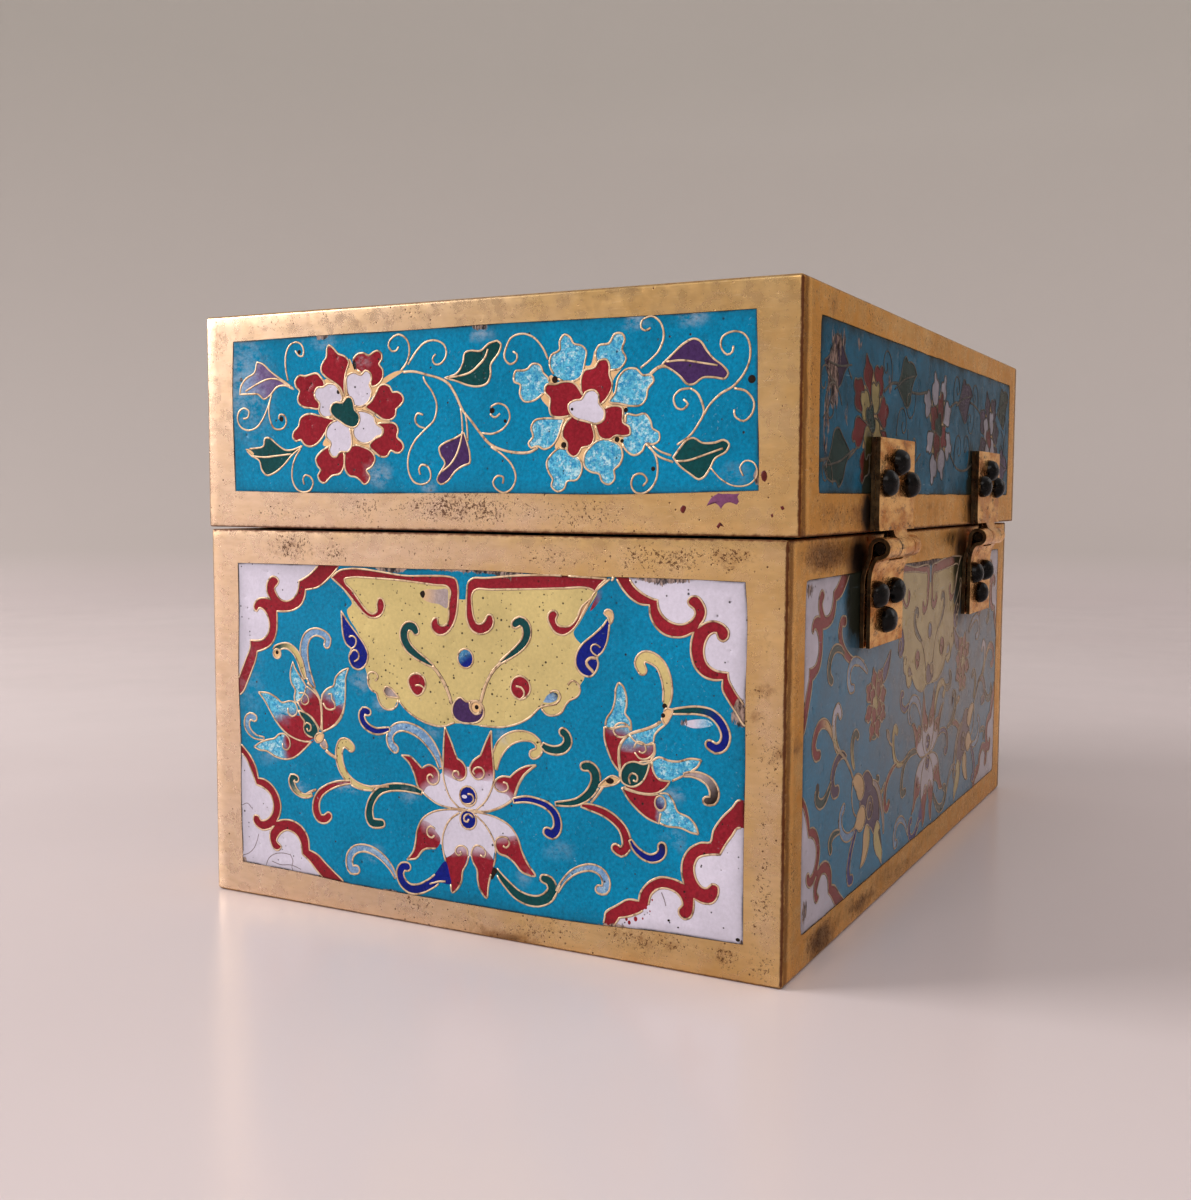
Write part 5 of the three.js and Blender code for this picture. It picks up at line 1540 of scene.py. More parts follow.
def side_sprays(p):
    """Scrolls and two flowers, for one end of a long side of the body."""
    p.stroke(
        "red",
        "-42.6 16 1.3, -43.9 16 1.3, -44.6 14.8 1.4, -44 13.2 1.3, -42.4 11.8 1.2, -39.8 10.6 1, "
        "-36.6 9.8 0.8, -33.4 9.4 0.5",
    )
    p.stroke(
        "green",
        "-47.9 8.6 1.1, -48.9 9.2 1.2, -49.1 10.6 1.2, -48.2 12 1.1, -46.4 12.7 1, -44.2 12.4 0.8, "
        "-42.6 11.6 0.4",
    )
    p.stroke(
        "lilac",
        "-38.2 6.4 1, -39.6 6.6 1.2, -40.4 7.8 1.3, -40 9.3 1.2, -38.4 10.1 1.1, -36 9.9 1, -33.6 9 0.8, "
        "-31.6 7.9 0.4",
    )
    p.stroke(
        "red",
        "-52.6 -0.4 1.2, -54 -0.2 1.4, -54.8 1 1.4, -54 2.6 1.3, -52 3.5 1.2, -49.6 3.1 1.1, "
        "-47.6 1.7 0.8, -46.2 0.3 0.4",
        fade=("gold", -52, 2, -49, 3),
    )
    p.stroke(
        "yellow",
        "-43.8 3.6 1.2, -44.8 4.6 1.3, -46.2 4 1.3, -46.6 2.2 1.3, -46 0.4 1.2, -44.8 -1 1, -43.4 -1.9 0.6",
        fade=("white", -45, 0, -45, 3),
    )
    p.stroke(
        "purple",
        "-44.6 -6.6 1.5, -46.2 -6.4 1.6, -47 -5 1.5, -46.3 -3.3 1.3, -44.6 -2.2 1.1, -42.6 -2 0.9, "
        "-40.8 -2.7 0.5",
    )
    p.stroke(
        "green",
        "-53 -4.8 1.3, -53.4 -5.8 1.3, -52.2 -6.8 1.2, -50.4 -6.9 1.1, -48.6 -6 0.9, -47.4 -4.9 0.4",
    )
    p.dot("black", -53, -4.7, 0.75, wired=False)
    p.wire("-46.4 0, -44 -1.4, -41.6 -2.6, -39.2 -4.4, -37.4 -6.2, -36 -7.6", 0.6)
    p.stroke(
        "green",
        "-35.6 -0.6 1, -36.6 0 1, -37.8 -0.6 1.1, -38.2 -2 1.1, -37.8 -3.6 0.9, -37 -5 0.5",
        fade=("yellow", -37, -1, -38, -4),
    )
    p.stroke(
        "lilac",
        "-41.6 -9.4 1, -42.8 -10.2 1.1, -42.9 -11.8 1.2, -41.6 -13.2 1.2, -39.4 -14 1.1, -37 -13.8 0.9, "
        "-35 -12.8 0.5",
    )
    p.stroke("green", "-47.2 -14 1.1, -47.6 -13 1.1, -46.4 -12.3 0.9, -44.8 -12.2 0.7, -43.2 -12.4 0.4")
    p.stroke(
        "navy",
        "-37.4 -20.4 1.3, -38.6 -20.2 1.4, -39 -18.6 1.3, -38.2 -16.6 1.2, -36.9 -15 1, -35.6 -13.8 0.6",
    )
    p.wire("-37.6 -6.4, -38 -8.6, -37 -11, -34.6 -12.4", 0.4)

    # A yellow flower with a purple heart.
    p.area(
        "purple",
        "-34 -8.4, -32.6 -6.6, -30.4 -6.4, -28.4 -7.6, -26.6 -9.4, -24.8 -11, -24 -13.4, -24.6 -16, "
        "-26.6 -16.4, -28.6 -15, -30.8 -14.6, -32.8 -13, -34 -11",
    )
    for line in (
        "-38 -6.6, -36.2 -5.9, -34.2 -6.2, -32.6 -7.2, -32 -8.8, -33.2 -9.9, -34.8 -9.6, -36 -8.2 /",
        "-37.4 -13.6, -35.6 -13.6, -34 -14.4, -32.2 -14.2, -31.2 -12.8, -31.8 -11.4, -33.4 -10.9, "
        "-35 -11.6, -36 -12.8 /",
        "-33.4 -19.8, -31.6 -19.5, -29.8 -18.2, -28.8 -16.4, -29.4 -14.6, -31 -14.2, -32 -15.4, "
        "-32.2 -17.4, -32.8 -18.8 /",
        "-22.4 -21.8, -23.8 -20.6, -25.6 -19.4, -26.8 -17.4, -26.4 -15.6, -25 -14.8, -23.6 -15.8, "
        "-23 -17.8, -22.2 -19.8 /",
    ):
        p.area("yellow", line, fade=("gold", -29, -12, -31, -12))
    p.stroke(
        "grey",
        "-27.4 -8.6 0.6, -25.4 -9.6 1, -23.8 -11.4 1.1, -22.6 -13.4 1, -21.8 -15.6 0.7, -21.6 -17.4 0.3",
    )
    p.dot("purple", -29.2, -12, 1.7, fade=("grey", -29, -12, -31, -10.6))
    p.wire("-30 -12.2, -29.4 -11.2, -28.5 -11.6, -28.6 -12.6")
    p.area("black", "-24.4 -16.6, -23.2 -18.4, -22 -20 / -22.8 -17.6, -23.6 -16.2 /", wired=False)
    p.area("green", "-29.8 -1.4, -28.6 -0.5, -26.8 -0.4, -25.2 -1.2 / -26.4 -2.3, -28.4 -2.2 /")
    p.area("navy", "-24.6 5.4, -23.6 7.4, -21.6 8.6, -19.4 9.8, -20.2 7.6, -21.4 6.2, -23 5.4 /")


def long_body_panel(p, middle=0.0):
    """A long side of the body: the lappet and lotus of the ends, with more flowers to both sides."""
    for part, shift in zip(CLOUDS, (-19.3, -19.3, 19.2, 19.2)):
        p.at(shift, 0)
        part(p)
    p.at(middle, 0)
    for part in (lappet, lotus, tendrils):
        part(p)
    for shift, flip in ((0, 1), (0.45 * middle, -1)):
        p.at(shift, 0, flip=flip)
        side_sprays(p)
        p.at(shift - 15.9 * flip, 2.9, 0, 0.55, flip)
        rosette_left(p, "red", "red", "yellow")
    p.at(0, 0)


def long_lid_panel(p):
    """A long side of the lid: three rosettes, with leaves and spirals between them."""
    p.wire("-59 -6.8, -54 -6.3, -48 -6.4, -45.6 -5.7, -43 -4.6", 0.45)
    p.wire("-46 4, -49.4 6.2, -52.8 6.2, -55.8 4.2", 0.4)
    p.wire("-31 3.4, -27 4.8, -22 5, -17 4.4, -12 4.4, -7 5", 0.45)
    p.wire("9 3.6, 13 4.6, 18 4.2, 23 5.2, 29 4.6, 33 3.4", 0.45)
    p.wire("9.4 -4.2, 14 -6.2, 20 -6.6, 26 -5.4, 32 -3.4", 0.45)
    p.wire("-10 -4.6, -15 -6.6, -21 -7, -27 -5.2", 0.45)
    leaf(p, "green", -46.2, -5.4, 186, 0.95)
    leaf(p, "purple", -47.4, 5.6, 176, 0.85, 1)
    leaf(p, "green", -24, 4.6, 8, 0.95)
    leaf(p, "purple", 14.4, 4.4, 6, 0.95)
    leaf(p, "green", 47, 4.6, 12, 0.95)
    leaf(p, "violet", 47.4, -4.8, -10, 0.9, 1)
    for place in (
        (-57.6, -1.6, -40),
        (-50, 0.4, 60),
        (-53.4, -9.6, 30, 0.7),
        (-24, -2.4, 30, 0.9, -1),
        (-17.6, -1.2, -160, 0.9),
        (-13.4, 4.6, -150, 0.9, -1),
        (-19, -6.8, 200, 0.6),
        (12.4, -5.4, 20, 0.9, -1),
        (22, -6.4, -20, 0.9),
        (26.6, 5, 190, 0.9, -1),
        (30, 4.4, 20, 0.8),
        (53.6, -1.2, -30, 0.9),
        (51.4, 1.6, 140, 0.8, -1),
        (-27, 5, 20, 0.8),
        (11.4, 4.4, 10, 0.8, -1),
    ):
        curl(p, *place)
    p.at(-18.8, -0.8, 0, 0.9)
    rosette_left(p, "red", "yellow", "green")
    p.at(-14.7, 0.3, 0, 0.9)
    rosette_right(p, "white", "red", "green")
    p.at(58.2, -0.5, 0, 0.9)
    rosette_left(p, "purple", "white", "red")
    p.at(0, 0)


def top_panel(p):
    """The top of the lid: clouds, a large rosette between two lotuses, and smaller flowers and leaves."""
    for part, across, up in zip(CLOUDS, (-19.4, -19.4, 19.4, 19.4), (17.3, -17.3, 17.3, -17.3)):
        p.at(across, up)
        part(p)
    for flip in (1, -1):
        for colour, x, y, turn, scale, turned in (
            ("green", -15, 6, 155, 1, 1),
            ("purple", -15, -8, 205, 1, 1),
            ("green", -40, 10, 120, 0.9, 1),
            ("violet", -40, -10, 240, 0.9, -1),
            ("purple", -7, 17, 60, 0.9, 1),
            ("green", -7, -17, -60, 0.9, -1),
            ("violet", -20, 33, 20, 0.9, 1),
            ("green", -20, -33, -20, 0.9, -1),
        ):
            leaf(p, colour, flip * x, y, turn if flip > 0 else 180 - turn, scale, turned)
        for x, y, turn in (
            (-17, 13, 20),
            (-17, -13, 150),
            (-44, 20, 40),
            (-44, -20, 130),
            (-50, 6, 20),
            (-50, -6, 150),
            (-12, 27, 60),
            (-12, -27, 110),
            (-30, 34, 80),
            (-30, -34, 90),
            (-4, 33, 20),
            (-4, -33, 150),
            (-36, 7, -20),
            (-36, -7, 190),
            (-54, 14, 60),
            (-54, -14, 100),
        ):
            curl(p, flip * x, y, turn * flip, 1.0, flip)
    for x, turn in ((-41, 90), (41, -90)):
        p.at(x, 0, turn)
        lotus(p)
    small, large = 0.8, 1.45
    for x, y, outer, inner, heart in (
        (-30, 22, "red", "yellow", "green"),
        (30, 22, "white", "red", "green"),
        (-30, -22, "white", "red", "navy"),
        (30, -22, "red", "yellow", "green"),
    ):
        p.at(x + 20.2 * small, y + 0.2, 0, small)
        rosette_left(p, outer, inner, heart)
    p.at(-17.4 * large, -0.1, 0, large)
    rosette_right(p, "sky", "red", "white")
    p.at(0, 0)


def mirrored(draw):
    """The same picture the other way round."""

    def draw_mirrored(p):
        p.at(0, 0, flip=-1)
        draw(p)

    return draw_mirrored


# ---- Faces of the case ----

SIDES = {
    "right": ((0, 1, 0), (0, 0, 1)),
    "back": ((-1, 0, 0), (0, 0, 1)),
    "left": ((0, -1, 0), (0, 0, 1)),
    "front": ((1, 0, 0), (0, 0, 1)),
    "top": ((1, 0, 0), (0, 1, 0)),
    "base": ((1, 0, 0), (0, -1, 0)),
}


# How far apart the noises of two seeds are.
SEED_STEP = (7.3, 3.1, 5.7)


def wave(place, size, seed):
    """A smooth random number, about -1 to 1, that changes over this many millimetres."""
    return noise.noise(Vector(place) / size + Vector([seed * v for v in SEED_STEP]))


def settled(point):
    """A point of the hand-made case: nearly where it should be, and never outside the whole box."""
    point = point + CASE_WAVE * Vector([wave(point, CASE_WAVE_SIZE, seed) for seed in (1, 2, 3)])
    return Vector([min(max(v, low / MM), high / MM) for v, low, high in zip(point, *cad_box)])


class Face:
    """An outer face of the body or lid."""

    def __init__(self, part, side):
        low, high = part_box(f"{part}_shell")
        field_low, field_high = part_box(f"{part}_enamel_{side}")
        self.part, self.side = part, side
        self.right, self.up = (Vector(v) for v in SIDES[side])
        self.out = self.right.cross(self.up)
        middle = (field_low + field_high) / 2
        surface = high if sum(self.out) > 0 else low
        self.middle = (middle + self.out * (surface - middle).dot(self.out)) / MM
        spread = (field_high - field_low) / MM
        self.half_width = abs(spread.dot(self.right)) / 2
        self.half_height = abs(spread.dot(self.up)) / 2
        self.outline = None

    def point(self, x, y, out=0):
        """A place on the face, and how far out of it, in millimetres in the frame."""
        return self.middle + self.right * x + self.up * y + self.out * (out - CASE_SINK)

    def flat(self, point):
        """Where a point of the frame is on the face."""
        away = point - self.middle
        return away.dot(self.right), away.dot(self.up)


def inside(outline, points):
    """Whether each of these points is inside the outline."""
    x, y = np.asarray(points, float).reshape(-1, 2).T
    found = np.zeros(len(x), bool)
    for (x0, y0), (x1, y1) in zip(outline, outline[1:] + outline[:1]):
        if y0 != y1:
            found ^= ((y0 > y) != (y1 > y)) & (x < (x1 - x0) * (y - y0) / (y1 - y0) + x0)
    return found


def shrunk(outline, by):
    """The outline, anticlockwise, moved inwards."""
    moved = []
    for before, here, after in zip(outline[-1:] + outline[:-1], outline, outline[1:] + outline[:1]):
        first = Vector((here[0] - before[0], here[1] - before[1])).normalized()
        second = Vector((after[0] - here[0], after[1] - here[1])).normalized()
        inwards = Vector((-first.y - second.y, first.x + second.x))
        inwards.normalize()
        stretch = max(0.5, inwards.dot(Vector((-second.y, second.x))))
        moved.append((here[0] + inwards.x * by / stretch, here[1] + inwards.y * by / stretch))
    return moved


def triangulated(loops, points):
    """Vertices and triangles over the closed loops and loose points."""
    places, edges = [], []
    for loop in loops:
        first = len(places)
        places += [Vector(p) for p in loop]
        edges += [(first + k, first + (k + 1) % len(loop)) for k in range(len(loop))]
    places += [Vector(p) for p in points]
    made, _, triangles, *_ = delaunay_2d_cdt(places, edges, [], 0, 1e-4, False)
    made = [tuple(v) for v in made]
    triangles = [t for t in triangles if len(t) == 3]
    return made, triangles, np.array([[sum(made[i][k] for i in t) / 3 for k in (0, 1)] for t in triangles])


def grid(x0, x1, y0, y1, step, jitter=0.0):
    """Loose points at about this spacing."""
    columns, rows = (max(1, round(span / step)) for span in (x1 - x0, y1 - y0))
    return [
        (
            x0 + (x1 - x0) * (i + jitter * random.uniform(-0.5, 0.5)) / columns,
            y0 + (y1 - y0) * (j + jitter * random.uniform(-0.5, 0.5)) / rows,
        )
        for i in range(1, columns)
        for j in range(1, rows)
    ]


def added(name, data):
    """A new object in the scene."""
    made = bpy.data.objects.new(name, data)
    bpy.context.scene.collection.objects.link(made)
    return made


def merged(mesh, distance, outwards=False, flat_angle=0):
    """Merges near vertices, and then turns all faces outwards or joins those within this angle, if asked."""
    work = bmesh.new()
    work.from_mesh(mesh)
    bmesh.ops.remove_doubles(work, verts=work.verts, dist=distance * MM)
    if outwards:
        bmesh.ops.recalc_face_normals(work, faces=work.faces)
    if flat_angle:
        bmesh.ops.dissolve_limit(work, angle_limit=flat_angle, verts=work.verts, edges=work.edges)
    work.to_mesh(mesh)
    work.free()


def mesh_object(name, points, faces, material):
    """A new smooth object from points in millimetres."""
    mesh = bpy.data.meshes.new(name)
    mesh.from_pydata([tuple(Vector(p) * MM) for p in points], [], faces)
    mesh.materials.append(material)
    mesh.shade_smooth()
    return added(name, mesh)


def numbered(mesh, name, numbers, where="POINT"):
    """Gives each vertex, or each corner of a face, a number that the materials read by this name."""
    mesh.attributes.new(name, "FLOAT", where).data.foreach_set("value", np.array(numbers, np.float32))


def painted_corners(mesh, colours):
    """Gives each corner of a face its colour."""
    made = mesh.attributes.new("paint", "FLOAT_COLOR", "CORNER")
    made.data.foreach_set("color", np.array(colours, np.float32).ravel())


# ---- The brass cases ----

def field_outline(face):
    """The edge of the enamel, anticlockwise: as drawn for the face, or straight within about a tenth."""
    if face.outline:
        corners = path(face.outline, True)
        total = sum(a[0] * b[1] - b[0] * a[1] for a, b in zip(corners, corners[1:] + corners[:1]))
        return corners if total > 0 else corners[::-1]
    w, h = face.half_width, face.half_height
    loop = []
    for (x0, y0), (x1, y1) in zip(((-w, -h), (w, -h), (w, h), (-w, h)), ((w, -h), (w, h), (-w, h), (-w, -h))):
        steps = round(math.dist((x0, y0), (x1, y1)))
        for k in range(steps):
            x, y = x0 + (x1 - x0) * k / steps, y0 + (y1 - y0) * k / steps
            slip = LONG_SLIP * wave((x, y, w), 6, 4) + SHORT_SLIP * wave((x, y, w), 1.6, 5)
            corner = min(k, steps - k)
            pull = CORNER_PULL / (1 + corner * corner * 4)
            toward = math.hypot(x, y)
            loop.append((x - x / toward * (pull + slip), y - y / toward * (pull + slip)))
    return loop


def spread(x, y, ellipses):
    """How strongly a place lies in these ellipses: each is x, y, half width, half height, strength."""
    return sum(s * max(0.0, 1 - ((x - a) / rx) ** 2 - ((y - b) / ry) ** 2) for a, b, rx, ry, s in ellipses)


def marks_at(place, faces, marks, tones_and_painted_light):
    """How pitted, how brown and how tarnished the brass is at a place of the case, with the painted shadow
    beside the hinges among the brown, and painted highlight and shade among the tarnish.
    """
    side = min(faces, key=lambda name: abs((place - faces[name].middle).dot(faces[name].out)))
    x, y = faces[side].flat(place)
    found = marks.get(side, ())
    tone_and_painted_light, *patches = tones_and_painted_light.get(side, (0,))
    return (
        PITTED + spread(x, y, [mark[:5] for mark in found]),
        BROWNED + spread(x, y, [mark[:4] + mark[5:] for mark in found]),
        tone_and_painted_light + spread(x, y, patches),
    )


def case(part, faces, closed, name, marks, tones_and_painted_light):
    """The brass body or lid: a thin-walled case with rounded edges painted dark as painted shade, and a
    shallow recess for each field.
    """
    low, high = (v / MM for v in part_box(f"{part}_shell"))
    base, rim = (low.z, high.z) if closed == "base" else (high.z, low.z)
    way = 1 if rim > base else -1
    height = abs(rim - base)

    def columns(span):
        return max(2, round(span / CASE_GRID))

    counts = [columns(high.x - low.x), columns(high.y - low.y)] * 2

    def ring(inset, rise):
        """A rounded rectangle, anticlockwise from above, with as many points at every height."""
        inset += CASE_SINK
        radius = max(LEAST_RADIUS, CASE_RADIUS - inset)
        x0, x1, y0, y1 = low.x + inset, high.x - inset, low.y + inset, high.y - inset
        z = base + way * rise
        corners = (
            (x1 - radius, y1 - radius),
            (x0 + radius, y1 - radius),
            (x0 + radius, y0 + radius),
            (x1 - radius, y0 + radius),
        )
        points = []
        for k, (x, y) in enumerate(corners):
            for s in range(ROUND_STEPS + 1):
                angle = math.radians(90 * (k + s / ROUND_STEPS))
                points.append(Vector((x + radius * math.cos(angle), y + radius * math.sin(angle), z)))
            following = Vector((*corners[(k + 1) % 4], z))
            angle = math.radians(90 * (k + 1))
            end = following + radius * Vector((math.cos(angle), math.sin(angle), 0))
            start = points[-1].copy()
            for s in range(1, counts[k]):
                points.append(start.lerp(end, s / counts[k]))
        return points

    def turn(radius, steps, first, last):
        return [(math.radians(first + (last - first) * s / steps), radius) for s in range(steps + 1)]

    rows = [
        (r * (1 - math.sin(a)), CASE_SINK + r * (1 - math.cos(a)))
        for a, r in turn(EDGE_RADIUS, ROUND_STEPS, 0, 90)
    ]
    flat_start = len(rows) - 1
    top = height - CASE_SINK / 2
    levels = max(2, round((top - RIM_RADIUS - rows[-1][1]) / CASE_GRID))
    start = rows[-1][1]
    rows += [(0, start + (top - RIM_RADIUS - start) * k / levels) for k in range(1, levels + 1)]
    flat_end = len(rows) - 1
    rows += [
        (r * (1 - math.cos(a)), top - r * (1 - math.sin(a)))
        for a, r in turn(RIM_RADIUS, RIM_STEPS, 30, 90)
    ]
    wall = CASE_WALL - CASE_SINK - WALL_GAP
    rows += [(wall - LIP, top), (wall - 0.04, top - 0.05), (wall, top - LIP), (wall, wall + CASE_SINK)]
    loops = [ring(*row) for row in rows]
    size = len(loops[0])
    points, quads = [p for loop in loops for p in loop], []
    arc = ROUND_STEPS + 1
    starts = [0]
    for count in counts:
        starts.append(starts[-1] + arc + count - 1)
    straight = set()
    for k in range(4):
        straight.update(range(starts[k] + arc - 1, starts[k] + arc - 1 + counts[k]))
    for r in range(len(rows) - 1):
        for i in range(size):
            if flat_start <= r < flat_end and i in straight:
                continue
            j = (i + 1) % size
            quads.append((r * size + i, r * size + j, (r + 1) * size + j, (r + 1) * size + i))

    def add(places, triangles, shown):
        first = len(points)
        points.extend(places)
        quads.extend(tuple(first + i for i in t) for t, kept in zip(triangles, shown) if kept)

    def fill(face, border, hole=None):
        """The flat of one face, with its recess."""
        flat = [face.flat(p) for p in border]
        xs, ys = [p[0] for p in flat], [p[1] for p in flat]
        loose = grid(min(xs), max(xs), min(ys), max(ys), CASE_GRID, 0.5)
        loops = [flat]
        if hole:
            wide = shrunk(hole, -CLEARANCE)
            keep = ~inside(wide, loose)
            loose = [p for p, kept in zip(loose, keep) if kept]
            loops.append(hole)
        made, triangles, middles = triangulated(loops, loose)
        shown = inside(flat, middles)
        if hole:
            shown &= ~inside(hole, middles)
        depth = (border[0] - face.middle).dot(face.out)

        def laid(places, down):
            level = face.out * (depth - down)
            return [face.middle + face.right * x + face.up * y + level for x, y in places]

        add(laid(made, 0), triangles, shown)
        if hole:
            first = len(points)
            count = len(hole)
            points.extend(laid(hole, 0) + laid(hole, RECESS))
            quads.extend(
                (first + i, first + (i + 1) % count, first + count + (i + 1) % count, first + count + i)
                for i in range(count)
            )
            made, triangles, middles = triangulated([hole], [])
            add(laid(made, RECESS), triangles, inside(hole, middles))

    order = ("back", "left", "front", "right")
    for k, side in enumerate(order):
        across = [starts[k] + arc - 1 + s for s in range(counts[k])] + [starts[(k + 1) % 4] if k < 3 else 0]
        lower = [loops[flat_start][i] for i in across]
        upper = [loops[flat_end][i] for i in across]
        ends = [[loops[r][i] for r in range(flat_start + 1, flat_end)] for i in (across[-1], across[0])]
        fill(faces[side], lower + ends[0] + upper[::-1] + ends[1][::-1], faces[side].edge)
    fill(faces[closed], loops[0], faces[closed].edge)
    last = loops[-1]
    flat = [(p.x, p.y) for p in last]
    made, triangles, middles = triangulated([flat], [])
    add([Vector((x, y, last[0].z)) for x, y in made], triangles, inside(flat, middles))

    made = mesh_object(name, [settled(p) for p in points], quads, brass)
    merged(made.data, CASE_MERGE, outwards=True)
    worn = {"pitted": [], "brown_and_shadow": [], "tone_and_painted_light": [], "edge": [], "ribbon": []}
    for vertex in made.data.vertices:
        place = vertex.co / MM
        for kind, number in zip(("pitted", "brown_and_shadow", "tone_and_painted_light"), marks_at(place, faces, marks, tones_and_painted_light)):
            worn[kind].append(number)
        # How dark each edge is painted: painted shade, darkest on the upright edges at the back.
        away = [min(abs(place[k] - low[k]), abs(place[k] - high[k])) for k in (0, 1, 2)]
        upright = max(away[0], away[1]) < away[2]
        dark = (BACK_EDGE_SHADE if place.y > 0 else FRONT_EDGE_SHADE) if upright else LEVEL_EDGE_SHADE
        worn["edge"].append(dark * max(0.0, 1 - sorted(away)[1] / EDGE_SHADE_REACH))
        worn["ribbon"].append(max(away[0], away[1]))
    for kind, numbers in worn.items():
        numbered(made.data, kind, numbers)
    made.data.set_sharp_from_angle(angle=SHARP)
    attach(made, part)
    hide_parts(f"{part}_shell")
    return made


# ---- The enamel and its wires ----

def relief(face, x, y):
    """How far the polished enamel stands out of its face."""
    place = face.point(x, y)
    return -FIELD_SINK + FIELD_WAVE * wave(place, 7, 6) + 0.25 * FIELD_WAVE * wave(place, 1.7, 8)


def plate(face, picture, wear):
    """The enamel of one face: its picture in glass, with pits, a dark seam and worn places, and numbers for
    dirt, painted shade, painted shadow and painted reflection.
    """
    edge = shrunk(face.edge, SEAM)
    band = shrunk(edge, SEAM_BAND)
    w = max(abs(x) for x, _ in edge)
    h = max(abs(y) for _, y in edge)
    loose = grid(-w, w, -h, h, FIELD_GRID, 0.4)
    loose = [p for p, kept in zip(loose, inside(band, loose)) if kept]
    clear = shrunk(band, CLEARANCE)
    holes = []
    while len(holes) < wear["pits"]:
        x = random.uniform(-w, w)
        y = random.uniform(-h, h)
        radius = PIT_RADIUS + PIT_SPREAD * random.random() ** 3
        if inside(clear, [(x, y)])[0]:
            holes.append((round(x, 3), round(y, 3), radius))
    for x, y, radius in holes:
        loose.append((x, y))
        loose += [(x + radius * math.cos(a), y + radius * math.sin(a)) for a in ring_angles(PIT_CORNERS)]
    loops = [edge, band] + [area[1] for area in picture.areas]
    made, triangles, middles = triangulated(loops, loose)
    shown = np.flatnonzero(inside(edge, middles))
    painted = np.full(len(middles), -1)
    for k, area in enumerate(picture.areas):
        painted[inside(area[1], middles)] = k
    centres = {(round(x, 3), round(y, 3)): radius for x, y, radius in holes}
    pit = [centres.get((round(x, 3), round(y, 3)), 0) for x, y in made]
    rim = {(round(x, 3), round(y, 3)) for x, y in edge}
    at_rim = [(round(x, 3), round(y, 3)) in rim for x, y in made]
    points = [
        face.point(x, y, relief(face, x, y) - PIT_DEPTH * r - (SEAM_DROP if e else 0))
        for (x, y), r, e in zip(made, pit, at_rim)
    ]
    points = [settled(p) for p in points]
    faces = [triangles[k] for k in shown]
    colours, specks, dots = [], [], []
    for k in shown:
        name, fade = ("turquoise", None) if painted[k] < 0 else picture.areas[painted[k]][2:]
        for i in triangles[k]:
            colour, speck = Vector(ENAMEL[name]), SPECKLED.get(name, 0)
            if fade:
                second, x0, y0, x1, y1 = fade
                across = ((made[i][0] - x0) * (x1 - x0) + (made[i][1] - y0) * (y1 - y0)) / (
                    (x1 - x0) ** 2 + (y1 - y0) ** 2
                )
                across = min(1, max(0, across))
                colour = colour.lerp(Vector(ENAMEL[second]), across)
                speck += (SPECKLED.get(second, 0) - speck) * across
            dark = PIT_DARK if pit[i] else 0
            if at_rim[i]:
                dark = min(SEAM_DARKEST, max(SEAM_PALEST, 0.55 + 0.9 * wave((*made[i], 3), 3, 9)))
            colours.extend(colour.lerp(Vector(ENAMEL["black"]), dark))
            specks.append(speck)
            dots.append(DOTTED.get(name, 0) + spread(*made[i], wear["specks"]))
    first, count = len(points), len(edge)
    points += [settled(face.point(x, y, relief(face, x, y) - SEAM_DROP)) for x, y in edge]
    points += [settled(face.point(x, y, -PLATE_DEPTH)) for x, y in edge]
    sides = [
        (first + count + i, first + count + (i + 1) % count, first + (i + 1) % count, first + i)
        for i in range(count)
    ]
    under, lids, centre = triangulated([edge], [])
    below = len(points)
    points += [settled(face.point(x, y, -PLATE_DEPTH)) for x, y in under]
    floor = [tuple(below + i for i in reversed(t)) for t, kept in zip(lids, inside(edge, centre)) if kept]
    faces += sides + floor
    for f in sides + floor:
        for _ in f:
            colours.extend(ENAMEL["black"])
            specks.append(0)
            dots.append(0)
    name = f"{face.part}_{face.side}_enamel"
    mesh = bpy.data.meshes.new(name)
    mesh.from_pydata([tuple(p * MM) for p in points], [], faces)
    mesh.materials.append(enamel)
    painted_corners(mesh, colours)
    numbered(mesh, "speck", specks, "CORNER")
    numbered(mesh, "dotted", dots, "CORNER")
    merged(mesh, MERGE)
    mesh.shade_smooth()
    mesh.set_sharp_from_angle(angle=GLASS_SHARP)
    piece = added(name, mesh)
    worn = {"scuff_and_sheen": [], "broken": [], "grime_and_shade": [], "dust_and_reflection": []}
    for vertex in mesh.vertices:
        x, y = face.flat(vertex.co / MM)
        worn["scuff_and_sheen"].append(spread(x, y, wear["scuffs_and_sheen"]))
        worn["broken"].append(spread(x, y, wear["broken"]))
        inwards = max(0.0, min(face.half_width - abs(x), face.half_height - abs(y)))
        rim_grime = RIM_GRIME * max(0.0, 1 - inwards / RIM_GRIME_REACH)
        # The dark layer: dirt near the rim and over every field, painted shade over the back fields, and
        # painted shadow beside the hinges.
        worn["grime_and_shade"].append(wear["grime_and_shade"] + rim_grime + spread(x, y, wear["hinge_shadows"]))
        worn["dust_and_reflection"].append(spread(x, y, wear["dust_and_reflection"]))
    for kind, numbers in worn.items():
        numbered(mesh, kind, numbers)
    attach(piece, face.part)
    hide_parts(f"{face.part}_enamel_{face.side}")
    return piece


